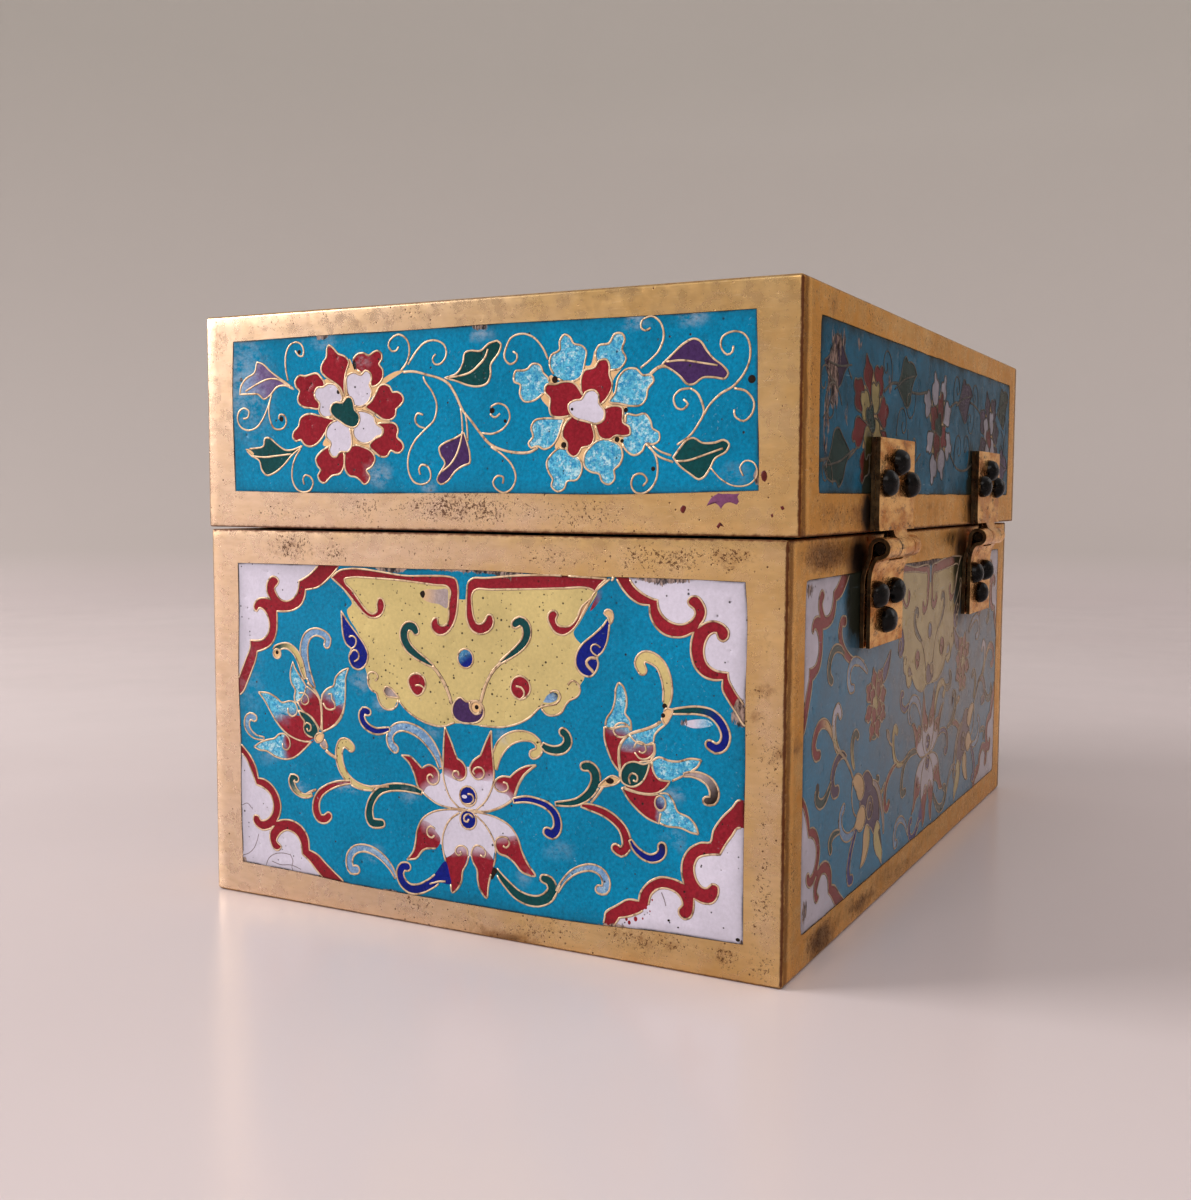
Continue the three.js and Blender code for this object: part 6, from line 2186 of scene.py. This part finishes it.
def wires(face, picture, grime_and_shade):
    """The brass wires between the colours, standing a little out of the polished glass."""
    room = shrunk(face.edge, ROOM_EDGE)
    points, faces = [], []
    places = np.array([p for _, line, _ in picture.wires for p in line])
    orders = np.array([order for order, line, _ in picture.wires for _ in line])
    shown = inside(room, places)
    for area in picture.areas:
        shown &= ~(inside(area[1], places) & (orders < area[0]))
    first = 0
    for _, line, width in picture.wires:
        kept = shown[first : first + len(line)]
        first += len(line)
        run = []
        for place, seen in [*zip(line, kept), (None, False)]:
            if seen:
                run.append(place)
                continue
            if len(run) > 1:
                strip(face, run, width, points, faces)
            run = []
    made = mesh_object(f"{face.part}_{face.side}_wires", points, faces, wire_brass)
    numbered(made.data, "seam", [1, 0, 0, 1] * (len(points) // 4))
    numbered(made.data, "grime_and_shade", [grime_and_shade] * len(points))
    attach(made, face.part)
    return made


def strip(face, run, width, points, faces):
    """One length of wire, with four corners to its section."""
    closed = math.dist(run[0], run[-1]) < TINY and len(run) > 3
    if closed:
        run = run[:-1]
    count = len(run)
    first = len(points)
    for i, (x, y) in enumerate(run):
        before = run[i - 1] if i or closed else run[0]
        after = run[(i + 1) % count] if i < count - 1 or closed else run[-1]
        along = Vector((after[0] - before[0], after[1] - before[1]))
        along.normalize()
        half = width / 2 * (1 + WIDTH_CHANGE * wave((x, y, width), 2.5, 11))
        top = relief(face, x, y) + WIRE_RISE * (1 + RISE_CHANGE * wave((x, y, 5), 4, 12))
        low = relief(face, x, y) - WIRE_ROOT
        for side, level in ((-WIRE_FOOT, low), (-WIRE_CROWN, top), (WIRE_CROWN, top), (WIRE_FOOT, low)):
            points.append(settled(face.point(x + along.y * side * half, y - along.x * side * half, level)))
    for i in range(count if closed else count - 1):
        j = (i + 1) % count
        for s in range(4):
            t = (s + 1) % 4
            faces.append((first + 4 * i + s, first + 4 * i + t, first + 4 * j + t, first + 4 * j + s))
    if not closed:
        last = first + 4 * (count - 1)
        faces.append((first + 3, first + 2, first + 1, first))
        faces.append((last, last + 1, last + 2, last + 3))


def blot(face, name, outline, colour):
    """A drop of glass that ran over the brass when the box was fired."""
    ring = path(outline, True)
    x, y = (sum(p[k] for p in ring) / len(ring) for k in (0, 1))
    count = len(ring)
    points = []
    for share, level in ((1, -0.05), (0.86, BLOT_RISE), (0.4, 1.3 * BLOT_RISE)):
        points += [face.point(x + (a - x) * share, y + (b - y) * share, level) for a, b in ring]
    points.append(face.point(x, y, 1.4 * BLOT_RISE))
    sides = [
        (r * count + s, r * count + (s + 1) % count, (r + 1) * count + (s + 1) % count, (r + 1) * count + s)
        for r in (0, 1)
        for s in range(count)
    ]
    sides += [(2 * count + s, 2 * count + (s + 1) % count, 3 * count) for s in range(count)]
    sides += [tuple(range(count - 1, -1, -1))]
    made = mesh_object(name, [settled(p) for p in points], sides, enamel)
    painted_corners(made.data, [ENAMEL[colour]] * len(made.data.loops))
    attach(made, face.part)


# ---- The box ----

faces = {
    part: {side: Face(part, side) for side in ("front", "back", "left", "right", closed)}
    for part, closed in (("body", "base"), ("lid", "top"))
}

# The edges of the two fields that the photo shows, which aren't quite straight.
EDGES = {
    ("body", "right"): (
        "-39.9 22.5, -30 22.6, -20 22.6, -10 22.5, 0 22.6, 8 22.5, 16 22.3, 24 22.4, 32 22.4, 39.6 22.3 /"
        "39.9 18, 39.8 8, 39.9 0, 39.8 -10, 39.9 -22.1 / 34 -22.2, 28 -22.3, 20 -22.7, 10 -22.9, 0 -22.9,"
        "-10 -22.9, -20 -22.8, -26 -22.5, -33 -22.3, -39.8 -22.2 / -40 -14, -39.9 -4, -40.1 6, -39.9 15 /"
    ),
    ("lid", "right"): (
        "-40.6 10.9, -30 11, -20 11.05, -8 11, 4 11.1, 16 11, 28 10.9, 40.1 10.9 / 40.3 6, 40.4 0, 40.6 -6,"
        "40.6 -10.5 / 30 -10.8, 20 -11, 8 -10.9, -4 -10.9, -16 -11, -28 -10.9, -40.6 -10.7 /"
        "-40.8 -4, -40.9 4 /"
    ),
}
for part, sides in faces.items():
    for side, face in sides.items():
        face.outline = EDGES.get((part, side))
        face.edge = field_outline(face)


# Marks in the brass: x, y, half width, half height, how pitted, how brown.
MARKS = {
    ("lid", "right"): (
        (-32, -13.8, 7, 2.2, 0.5, 0.1),
        (-18, -13.2, 6, 2.6, 0.8, 0.25),
        (-2, -12.8, 13, 3, 1.1, 0.3),
        (16, -13.4, 8, 2.6, 0.8, 0.12),
        (27, -15, 8, 1.2, 0.6, 0.12),
        (-30, 13.2, 8, 1.5, 0.4, 0.05),
        (-10, 13.2, 10, 1.6, 0.5, 0.1),
        (8, 12.4, 5, 1, 0.4, 0.25),
        (-43.4, 11.5, 1.4, 3.4, 0.3, 0.35),
    ),
    ("body", "right"): (
        (-30, 25, 6, 2.4, 0.9, 0.45),
        (-22, 24.2, 4, 2, 0.8, 0.3),
        (-5, 24.8, 9, 1.6, 0.4, 0.1),
        (14, 24.6, 8, 2, 0.7, 0.15),
        (28, 24.8, 9, 2.6, 1, 0.25),
        (38, 25.2, 3.5, 1.6, 0.9, 0.7),
        (-6, 23.2, 12, 0.8, 0.3, 0.5),
        (42.6, 2, 2.4, 12, 0.45, 0.1),
        (42.4, -16, 2.4, 10, 0.7, 0.15),
        (43.2, 14.6, 1, 1, 0.2, 1),
        (42.2, 9, 1.2, 1, 0.3, 0.9),
        (40.9, 6.8, 0.9, 0.8, 0.3, 0.9),
        (44, 2, 0.9, 1, 0.3, 0.9),
        (41, 16.5, 0.8, 0.8, 0.2, 0.9),
        (27, -23.6, 9, 1.8, 0.9, 0.6),
        (12, -24.4, 8, 2, 0.7, 0.4),
        (37.5, -24.2, 3, 1.6, 1, 0.6),
        (42.4, -25, 2, 2.4, 0.9, 0.3),
        (-2, -25.4, 8, 1.4, 0.5, 0.4),
        (6, -26.6, 7, 0.9, 0.4, 1),
        (-9, -24, 5, 1.8, 0.8, 0.3),
    ),
    ("body", "back"): (
        (-51, 25, 13, 3, 0.9, 1.1),
        (-50, -25.6, 8, 2.2, 0.9, 1.1),
        (-31, -25.2, 9, 1.8, 0.8, 0.9),
        (-9, -25.4, 12, 1.6, 0.6, 0.7),
        (-36, 25, 5, 3, 0.4, 0.9),
        (-20, 25.4, 8, 1.6, 0.3, 0.5),
        (4, 24, 14, 1.8, 0.3, 0.4),
        (-52, -23.8, 8, 1.5, 0.8, 0.9),
        (-38, -24, 9, 1.6, 0.5, 0.6),
        (-20, -24, 10, 1.4, 0.4, 0.6),
        (4, -24, 14, 1.4, 0.3, 0.5),
        (-61.5, 2, 1.6, 1.8, 0.6, 1.1),
        (-62, 12, 2.4, 9, 0.4, 0.3),
        (-62, -14, 2.4, 8, 0.7, 0.3),
        (30, 24.6, 16, 2, 0.3, 0.4),
        (40, -24.2, 14, 1.6, 0.4, 0.5),
    ),
    ("lid", "back"): (
        (-52, -13.5, 9, 2.6, 0.6, 0.55),
        (-40, -13.5, 7, 2.8, 0.4, 1),
        (-22, -13, 10, 2, 0.4, 0.45),
        (0, -13, 14, 2, 0.3, 0.5),
        (-54, 12.4, 3, 2, 0.6, 0.8),
        (-36, 12.6, 14, 1.6, 0.5, 0.35),
        (-6, 12.6, 18, 1.6, 0.3, 0.35),
        (-61.8, 0, 2.4, 12, 0.5, 0.4),
        (34, -13, 14, 2, 0.3, 0.4),
    ),
    ("lid", "top"): (
        (-50, 42, 12, 2.6, 0.7, 0.3),
        (10, 42.5, 16, 2.4, 0.6, 0.2),
        (60, 20, 3, 12, 0.7, 0.3),
        (-62, -14, 3, 14, 0.6, 0.2),
        (30, -43, 14, 2.4, 0.7, 0.3),
        (-28, -43, 10, 2, 0.5, 0.2),
        (62, -30, 3, 8, 0.5, 0.3),
    ),
    ("body", "base"): (
        (-62, 0, 4, 36, 0.9, 0.6),
        (62, 6, 4, 36, 0.9, 0.5),
        (0, 42, 50, 4, 0.9, 0.6),
        (4, -42, 52, 4, 0.9, 0.5),
    ),
}


def turned_over(marks):
    """The same marks on a face drawn the other way round."""
    return tuple((-mark[0], *mark[1:]) for mark in marks)


for part in faces:
    MARKS[part, "left"] = turned_over(MARKS[part, "right"])
    MARKS[part, "front"] = turned_over(MARKS[part, "back"])

# How tarnished the brass is, from -1, rubbed pale, to 1, brown: a number for the whole face, then patches.
# The large pale patch on each +x end is painted highlight, and the higher numbers of the back faces are
# partly painted shade.
TONES_AND_PAINTED_LIGHT = {
    ("lid", "right"): (0, (-46, 0, 66, 60, -1), (4, -13.5, 30, 3, -0.35)),
    ("body", "right"): (
        0,
        (-46, 0, 60, 80, -1),
        (0, 25, 30, 3, -0.4),
        (-6, -25, 22, 3, -0.3),
        (42.6, -4, 3, 24, -0.35),
    ),
    ("lid", "back"): (0.95, (-10, 13, 60, 2.4, -0.5)),
    ("body", "back"): (0.7, (-10, -25, 60, 3, -0.3)),
    ("lid", "front"): (0.35,),
    ("body", "front"): (0.35,),
    ("body", "base"): (0.7,),
}


# Which leaves lie on the body and on the lid, and how far the painted shadow beside them reaches and how
# strong it is.
HINGE_LEAF = {"body": "lower", "lid": "upper"}
HINGE_SHADOW = {"body": (6, 1.6), "lid": (3, 1.4)}


def shadow_beside_hinges(part, side):
    """The painted shadow beside each hinge leaf on the back, a dark patch in the brass and the glass: x, y,
    half width, half height, strength.
    """
    if side != "back":
        return ()
    hinge_shadows = []
    for which in ("near", "far"):
        low, high = (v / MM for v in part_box(f"hinge_leaf_{HINGE_LEAF[part]}_{which}"))
        x, y = faces[part][side].flat((low + high) / 2)
        reach, strength = HINGE_SHADOW[part]
        hinge_shadows.append((x - (high.x - low.x) / 2 - 0.3 * reach, y, reach, 0.66 * (high.z - low.z), strength))
    return tuple(hinge_shadows)


# The painted shadow beside the hinges also goes into the brass, as a dark brown mark that is not pitted.
for part, closed in (("body", "base"), ("lid", "top")):
    marks = {
        side: [
            *MARKS.get((part, side), ()),
            *((*stain[:4], 0, stain[4]) for stain in shadow_beside_hinges(part, side)),
        ]
        for side in faces[part]
    }
    tones_and_painted_light = {side: TONES_AND_PAINTED_LIGHT.get((part, side), (0.1,)) for side in faces[part]}
    case(part, faces[part], closed, f"{part}_case", marks, tones_and_painted_light)

# The picture of each face; the underside has none.
DRAWN = {
    ("body", "right"): lappet_panel,
    ("body", "left"): mirrored(lappet_panel),
    ("body", "back"): lambda p: long_body_panel(p, 4.6),
    ("body", "front"): long_body_panel,
    ("lid", "right"): rosette_panel,
    ("lid", "left"): mirrored(rosette_panel),
    ("lid", "back"): long_lid_panel,
    ("lid", "front"): mirrored(long_lid_panel),
    ("lid", "top"): top_panel,
}

# Worn glass: ellipses that are scuffed pale, and ellipses where it is broken away, each with its strength.
# The large pale ellipses at the left of the +x end fields are painted reflection.
SCUFFS_AND_SHEEN = {
    ("lid", "right"): (
        (1.8, 10, 1.6, 1.3, 1.2),
        (24.2, 10.4, 1.6, 1, 1.2),
        (32, 10.4, 2.6, 0.9, 1),
        (-15, -8.3, 2.6, 2, 1.2),
        (-24, 10, 3, 1.3, 0.7),
        (-37, 3, 5, 9, 0.4),
        (-6.5, -10, 1.6, 1, 0.8),
        (-17.6, 7.2, 1.5, 1.3, 1),
        (37.6, -8.6, 2.4, 1.6, 0.4),
        (-41, 6, 7, 9, 0.45),
    ),
    ("body", "right"): (
        (-17.8, 6.5, 1.9, 1.8, 1),
        (-14.3, 3.5, 1.6, 1, 0.8),
        (-5.4, 0.6, 1.8, 1, 0.8),
        (-20.3, -8.6, 3, 0.9, 1.1),
        (-29.2, -9.8, 1.8, 1.1, 0.9),
        (-9.6, -8.9, 1.4, 1.1, 0.9),
        (-15.7, -18, 1.8, 1.3, 0.9),
        (-34.5, -5.8, 2.6, 0.9, 0.8),
        (5.8, 0.6, 1.6, 1, 0.8),
        (8.8, -17.8, 1.6, 1.2, 0.7),
        (30.4, -4.6, 1.6, 1, 0.9),
        (30.6, -10.2, 1.8, 0.9, 0.9),
        (-38, 6, 3, 8, 0.3),
        (14, -13.6, 3, 1, 0.4),
    ),
    ("lid", "top"): (
        (20, 30, 5, 2, 0.8),
        (-34, -16, 4, 2, 0.8),
        (44, -8, 3, 6, 0.7),
        (2, -26, 6, 2, 0.6),
        (-12, 12, 3, 2, 0.7),
    ),
    ("lid", "front"): ((20, 8, 3, 1.4, 0.8), (-30, -8, 3, 1.6, 0.8), (52, 2, 4, 5, 0.4)),
    ("body", "front"): (
        (-22, 4, 2, 1.6, 0.9),
        (30, -9, 3, 1.2, 0.9),
        (8, -14, 2, 1.4, 0.8),
        (50, 12, 4, 3, 0.5),
    ),
    ("body", "left"): ((16, 6, 2, 1.6, 0.9), (-24, -12, 2.4, 1.2, 0.9), (34, -8, 3, 1, 0.7)),
    ("lid", "left"): ((-20, 9, 2.6, 1.2, 0.9), (8, -8, 2, 1.8, 0.9)),
}
BROKEN = {
    ("lid", "back"): (
        (-53.6, 4, 3.4, 7, 0.8),
        (-56.4, -3, 1.8, 6, 0.6),
        (-50, 8.4, 2.2, 2.4, 0.7),
        (-48.4, 0, 1.6, 5, 0.5),
        (-43, 8.6, 2, 1.8, 0.7),
        (-28, 4.6, 1.6, 2.6, 0.6),
    ),
    ("body", "back"): (
        (0, 22.2, 13, 1.2, 1.1),
        (-57.6, -20, 1.6, 2.4, 0.7),
        (22, -3, 1.2, 1.8, 0.7),
        (-57, 21, 3, 1.4, 0.7),
    ),
    ("body", "right"): (
        (-12.5, 22.5, 3.4, 0.9, 1.1),
        (1, 22.7, 12, 0.6, 1),
        (5.8, 22.4, 3, 0.8, 1),
        (38.9, 6.2, 1.5, 2.6, 0.95),
        (31.2, 4.7, 1.6, 0.7, 0.6),
        (28.5, 22.2, 5, 0.7, 0.8),
        (-39.8, -22, 1.2, 0.8, 0.8),
        (39.8, -22, 0.8, 0.7, 0.7),
        (-13, -23, 2.4, 0.6, 0.9),
        (22, -22.6, 3, 0.6, 0.8),
        (-30, -22.4, 2, 0.4, 0.7),
    ),
    ("lid", "right"): (
        (40.4, -9, 0.9, 1.4, 0.8),
        (1.6, 10.9, 1.8, 0.5, 1),
        (-24.4, 10.9, 1.4, 0.5, 0.9),
        (36.4, -10.8, 1.6, 0.5, 0.7),
    ),
    ("lid", "top"): ((35, 38.8, 4, 0.8, 0.8), (-22, -39, 3, 0.7, 0.8), (58.6, -12, 0.7, 3, 0.7)),
}
# Dark layer over a whole field, dirt with painted shade on the back fields; pale haze in ellipses, painted
# reflection with some dirt; a dark layer on the wires of the back, dirt with painted shade; and more pinholes
# in ellipses.
COMMON_GRIME = 0.06
FIELD_GRIME_AND_SHADE = {
    ("lid", "back"): 0.85,
    ("body", "back"): 0.3,
    ("body", "base"): 0.4,
    ("lid", "right"): 0,
    ("body", "right"): 0,
}
DUST_AND_REFLECTION = {
    ("body", "back"): ((10, 6, 66, 28, 0.34), (60, -4, 90, 60, 0.34), (-60, 6, 60, 60, 0.12)),
    ("lid", "back"): ((60, 0, 60, 60, 0.1),),
}
WIRE_GRIME_AND_SHADE = {("lid", "back"): 1, ("body", "back"): 0.4}
SPECKS = {("body", "back"): ((-46, 6, 24, 22, 1.3),), ("lid", "back"): ((-46, 0, 16, 12, 1),)}

for part, sides in faces.items():
    for side, face in sides.items():
        picture = Picture()
        draw = DRAWN.get((part, side))
        if draw:
            draw(picture)
        wear = {
            "pits": round(4 * face.half_width * face.half_height / PIT_SPACING**2),
            "scuffs_and_sheen": SCUFFS_AND_SHEEN.get((part, side), ()),
            "broken": BROKEN.get((part, side), ()),
            "grime_and_shade": FIELD_GRIME_AND_SHADE.get((part, side), COMMON_GRIME),
            "hinge_shadows": shadow_beside_hinges(part, side),
            "dust_and_reflection": DUST_AND_REFLECTION.get((part, side), ()),
            "specks": SPECKS.get((part, side), ()),
        }
        plate(face, picture, wear)
        if picture.wires:
            wires(face, picture, WIRE_GRIME_AND_SHADE.get((part, side), 0))

# Drops of glass on the brass of the lid: their colour and outline.
BLOTS = (
    (
        "mauve",
        "35.4 -10.7, 34.4 -11.3, 33.7 -12.4 / 34.6 -12, 35.3 -12.2, 35.8 -12.8 / 36.3 -12.1, 37.1 -11.9, "
        "38 -12.2 /"
        "38.3 -11.8, 38.1 -11.2, 38.4 -10.7 / 37.6 -10.8, 36.7 -10.75, 36 -10.8 /",
    ),
    ("maroon", "30.5 -12.5, 30.8 -12.2, 31.3 -12.4, 31.2 -12.9, 30.9 -13.3, 30.5 -13"),
    ("maroon", "35.2 -14.8, 35.7 -14.2, 36.3 -14.8 / 35.8 -14.7, 35.5 -15.1 /"),
    ("maroon", "40.9 -8.2, 41.4 -8, 41.7 -8.8, 41.4 -9.5, 41 -9.3"),
    ("maroon", "42.1 -13.3, 42.4 -13.1, 42.5 -13.5, 42.3 -13.7"),
    ("maroon", "43.3 -12.3, 43.7 -12.2, 43.9 -12.6, 43.6 -12.8"),
)
for k, (colour, outline) in enumerate(BLOTS):
    blot(faces["lid"]["right"], f"lid_blot_{k + 1}", outline, colour)


# ---- Hinges ----

def hinge_leaf(node, part):
    """A leaf of a hinge, with its edges a little rounded."""
    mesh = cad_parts[node].data.copy()
    mesh.name = f"{node}_sheet"
    merged(mesh, MERGE, flat_angle=math.radians(1))
    mesh.materials.clear()
    mesh.materials.append(hinge_brass)
    mesh.shade_smooth()
    mesh.set_sharp_from_angle(angle=SHARP)
    piece = added(f"{node}_sheet", mesh)
    rounding = piece.modifiers.new("rounding", "BEVEL")
    rounding.width = SHEET_ROUNDING * MM
    rounding.segments = 2
    rounding.limit_method = "ANGLE"
    rounding.angle_limit = SHARP
    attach(piece, part)
    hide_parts(node)


def rivet(node, part):
    """A rivet: a dome beaten a little out of round, a shank, and a low button inside the box."""
    low, high = (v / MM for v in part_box(node))
    middle = (low + high) / 2
    seat = high.y - RIVET_HEAD
    radius = (high.x - low.x) / 2 - RIVET_DENTS
    button = low.y + RIVET_BUTTON
    profile = [
        (BUTTON_FACE, low.y),
        (BUTTON_RADIUS, button - BUTTON_BEVEL),
        (BUTTON_RADIUS, button),
        (RIVET_SHANK, button),
        (RIVET_SHANK, seat),
    ]
    for step in range(RIVET_STEPS):
        angle = math.radians(90 * step / RIVET_STEPS)
        profile.append(
            (radius * math.cos(angle) ** DOME_SHAPE, seat + (RIVET_HEAD - RIVET_DENTS) * math.sin(angle)),
        )
    points = [(middle.x, low.y, middle.z)]
    for r, y in profile:
        for angle in ring_angles(RIVET_SPOKES):
            place = Vector((middle.x + r * math.cos(angle), y, middle.z + r * math.sin(angle)))
            dent = RIVET_DENTS * wave(place, 1.3, 14) if y > seat else 0
            points.append(
                (place.x + dent * math.cos(angle), place.y + dent, place.z + dent * math.sin(angle)),
            )
    points.append((middle.x, high.y - RIVET_DENTS, middle.z))
    last, rings = len(points) - 1, len(profile)
    sides = []
    for s in range(RIVET_SPOKES):
        t = (s + 1) % RIVET_SPOKES
        sides.append((0, 1 + t, 1 + s))
        for r in range(rings - 1):
            a, b = 1 + r * RIVET_SPOKES, 1 + (r + 1) * RIVET_SPOKES
            sides.append((a + s, a + t, b + t, b + s))
        a = 1 + (rings - 1) * RIVET_SPOKES
        sides.append((a + s, a + t, last))
    made = mesh_object(f"{node}_dome", points, sides, dark_bronze)
    made.data.set_sharp_from_angle(angle=GLASS_SHARP)
    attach(made, part)
    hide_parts(node)


for node in sorted(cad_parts):
    part = "lid" if "upper" in node else "body"
    if node.startswith("hinge_leaf"):
        hinge_leaf(node, part)
    if node.startswith("rivet"):
        rivet(node, part)

# What stays of the CAD takes these materials.
FINISHES = {
    "brass": brass,
    "hinge_brass": hinge_brass,
    "dark_bronze": dark_bronze,
    "enamel": enamel,
    "lining_enamel": lining_enamel,
}
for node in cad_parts.values():
    for slot in node.material_slots:
        slot.material = FINISHES[slot.material.name.split(".")[0]]


# ---- Stage, lights and camera ----

FLOOR_RADIUS = 900
FLOOR_CURVE = 350
FLOOR_MIDDLE = 200
FLOOR_STEPS = 12
FLOOR_SPOKES = 96
WALL_HEIGHT = 700


def sweep(name, material):
    """A round floor that curves up into a low wall."""
    flat = FLOOR_RADIUS - FLOOR_CURVE
    profile = [(FLOOR_MIDDLE, 0), (flat, 0)]
    for s in range(1, FLOOR_STEPS + 1):
        angle = math.radians(90 * s / FLOOR_STEPS)
        profile.append((flat + FLOOR_CURVE * math.sin(angle), FLOOR_CURVE - FLOOR_CURVE * math.cos(angle)))
    profile.append((FLOOR_RADIUS, WALL_HEIGHT))
    points = [(0, 0, 0)]
    for far, rise in profile:
        points += [(far * math.cos(a), far * math.sin(a), rise) for a in ring_angles(FLOOR_SPOKES)]
    made = [(0, 1 + s, 1 + (s + 1) % FLOOR_SPOKES) for s in range(FLOOR_SPOKES)]
    for r in range(len(profile) - 1):
        near, far = 1 + r * FLOOR_SPOKES, 1 + (r + 1) * FLOOR_SPOKES
        for s in range(FLOOR_SPOKES):
            t = (s + 1) % FLOOR_SPOKES
            made.append((near + s, far + s, far + t, near + t))
    floor = mesh_object(name, points, made, material)
    return floor


sweep("floor", floor_material())


LIGHT_AIM = (0, 0, 0.05)


def soft_light(name, place, width, height, power, colour):
    """A lamp behind a cloth of this size, in metres, that points at the box."""
    light = bpy.data.lights.new(name, "AREA")
    light.shape = "RECTANGLE"
    light.size = width
    light.size_y = height
    light.energy = power
    light.color = colour
    made = added(name, light)
    made.location = place
    made.rotation_euler = (Vector(LIGHT_AIM) - Vector(place)).to_track_quat("-Z", "Y").to_euler()


soft_light("window", (0.37, -0.7, 0.34), 0.45, 0.6, 8, (1, 0.96, 0.94))
soft_light("room", (0.8, 0.12, 0.6), 0.6, 0.5, 3, (1, 0.96, 0.93))
soft_light("rear", (-0.55, 0.65, 0.4), 0.5, 0.6, 1.3, (0.98, 0.98, 1))

ROOM_LIGHT = (0.92, 0.88, 0.86, 1)
ROOM_STRENGTH = 0.56

world = bpy.data.worlds.new("studio")
world.use_nodes = True
background = world.node_tree.nodes["Background"]
background.inputs["Color"].default_value = ROOM_LIGHT
background.inputs["Strength"].default_value = ROOM_STRENGTH
bpy.context.scene.world = world
bpy.context.scene.view_settings.view_transform = "Standard"

# The camera of the photo: its direction and roll, its place in metres, its lens and sensor in millimetres.
AZIMUTH, ELEVATION, ROLL = (math.radians(v) for v in (117.54, 4.43, 0.23))
CAMERA_PLACE = (0.2172, 0.0985, 0.0596)
FOCAL_LENGTH = 40.617
SENSOR_WIDTH = 36

level = math.cos(ELEVATION)
back = Vector((math.sin(AZIMUTH) * level, -math.cos(AZIMUTH) * level, math.sin(ELEVATION)))
side = Vector((0, 0, 1)).cross(back).normalized()
over = back.cross(side)
lens = bpy.data.cameras.new("camera")
lens.lens = FOCAL_LENGTH
lens.sensor_width = SENSOR_WIDTH
camera = added("camera", lens)
turned = Matrix(
    (side * math.cos(ROLL) + over * math.sin(ROLL), over * math.cos(ROLL) - side * math.sin(ROLL), back),
).transposed()
camera.matrix_world = Matrix.Translation(CAMERA_PLACE) @ turned.to_4x4()
bpy.context.scene.camera = camera
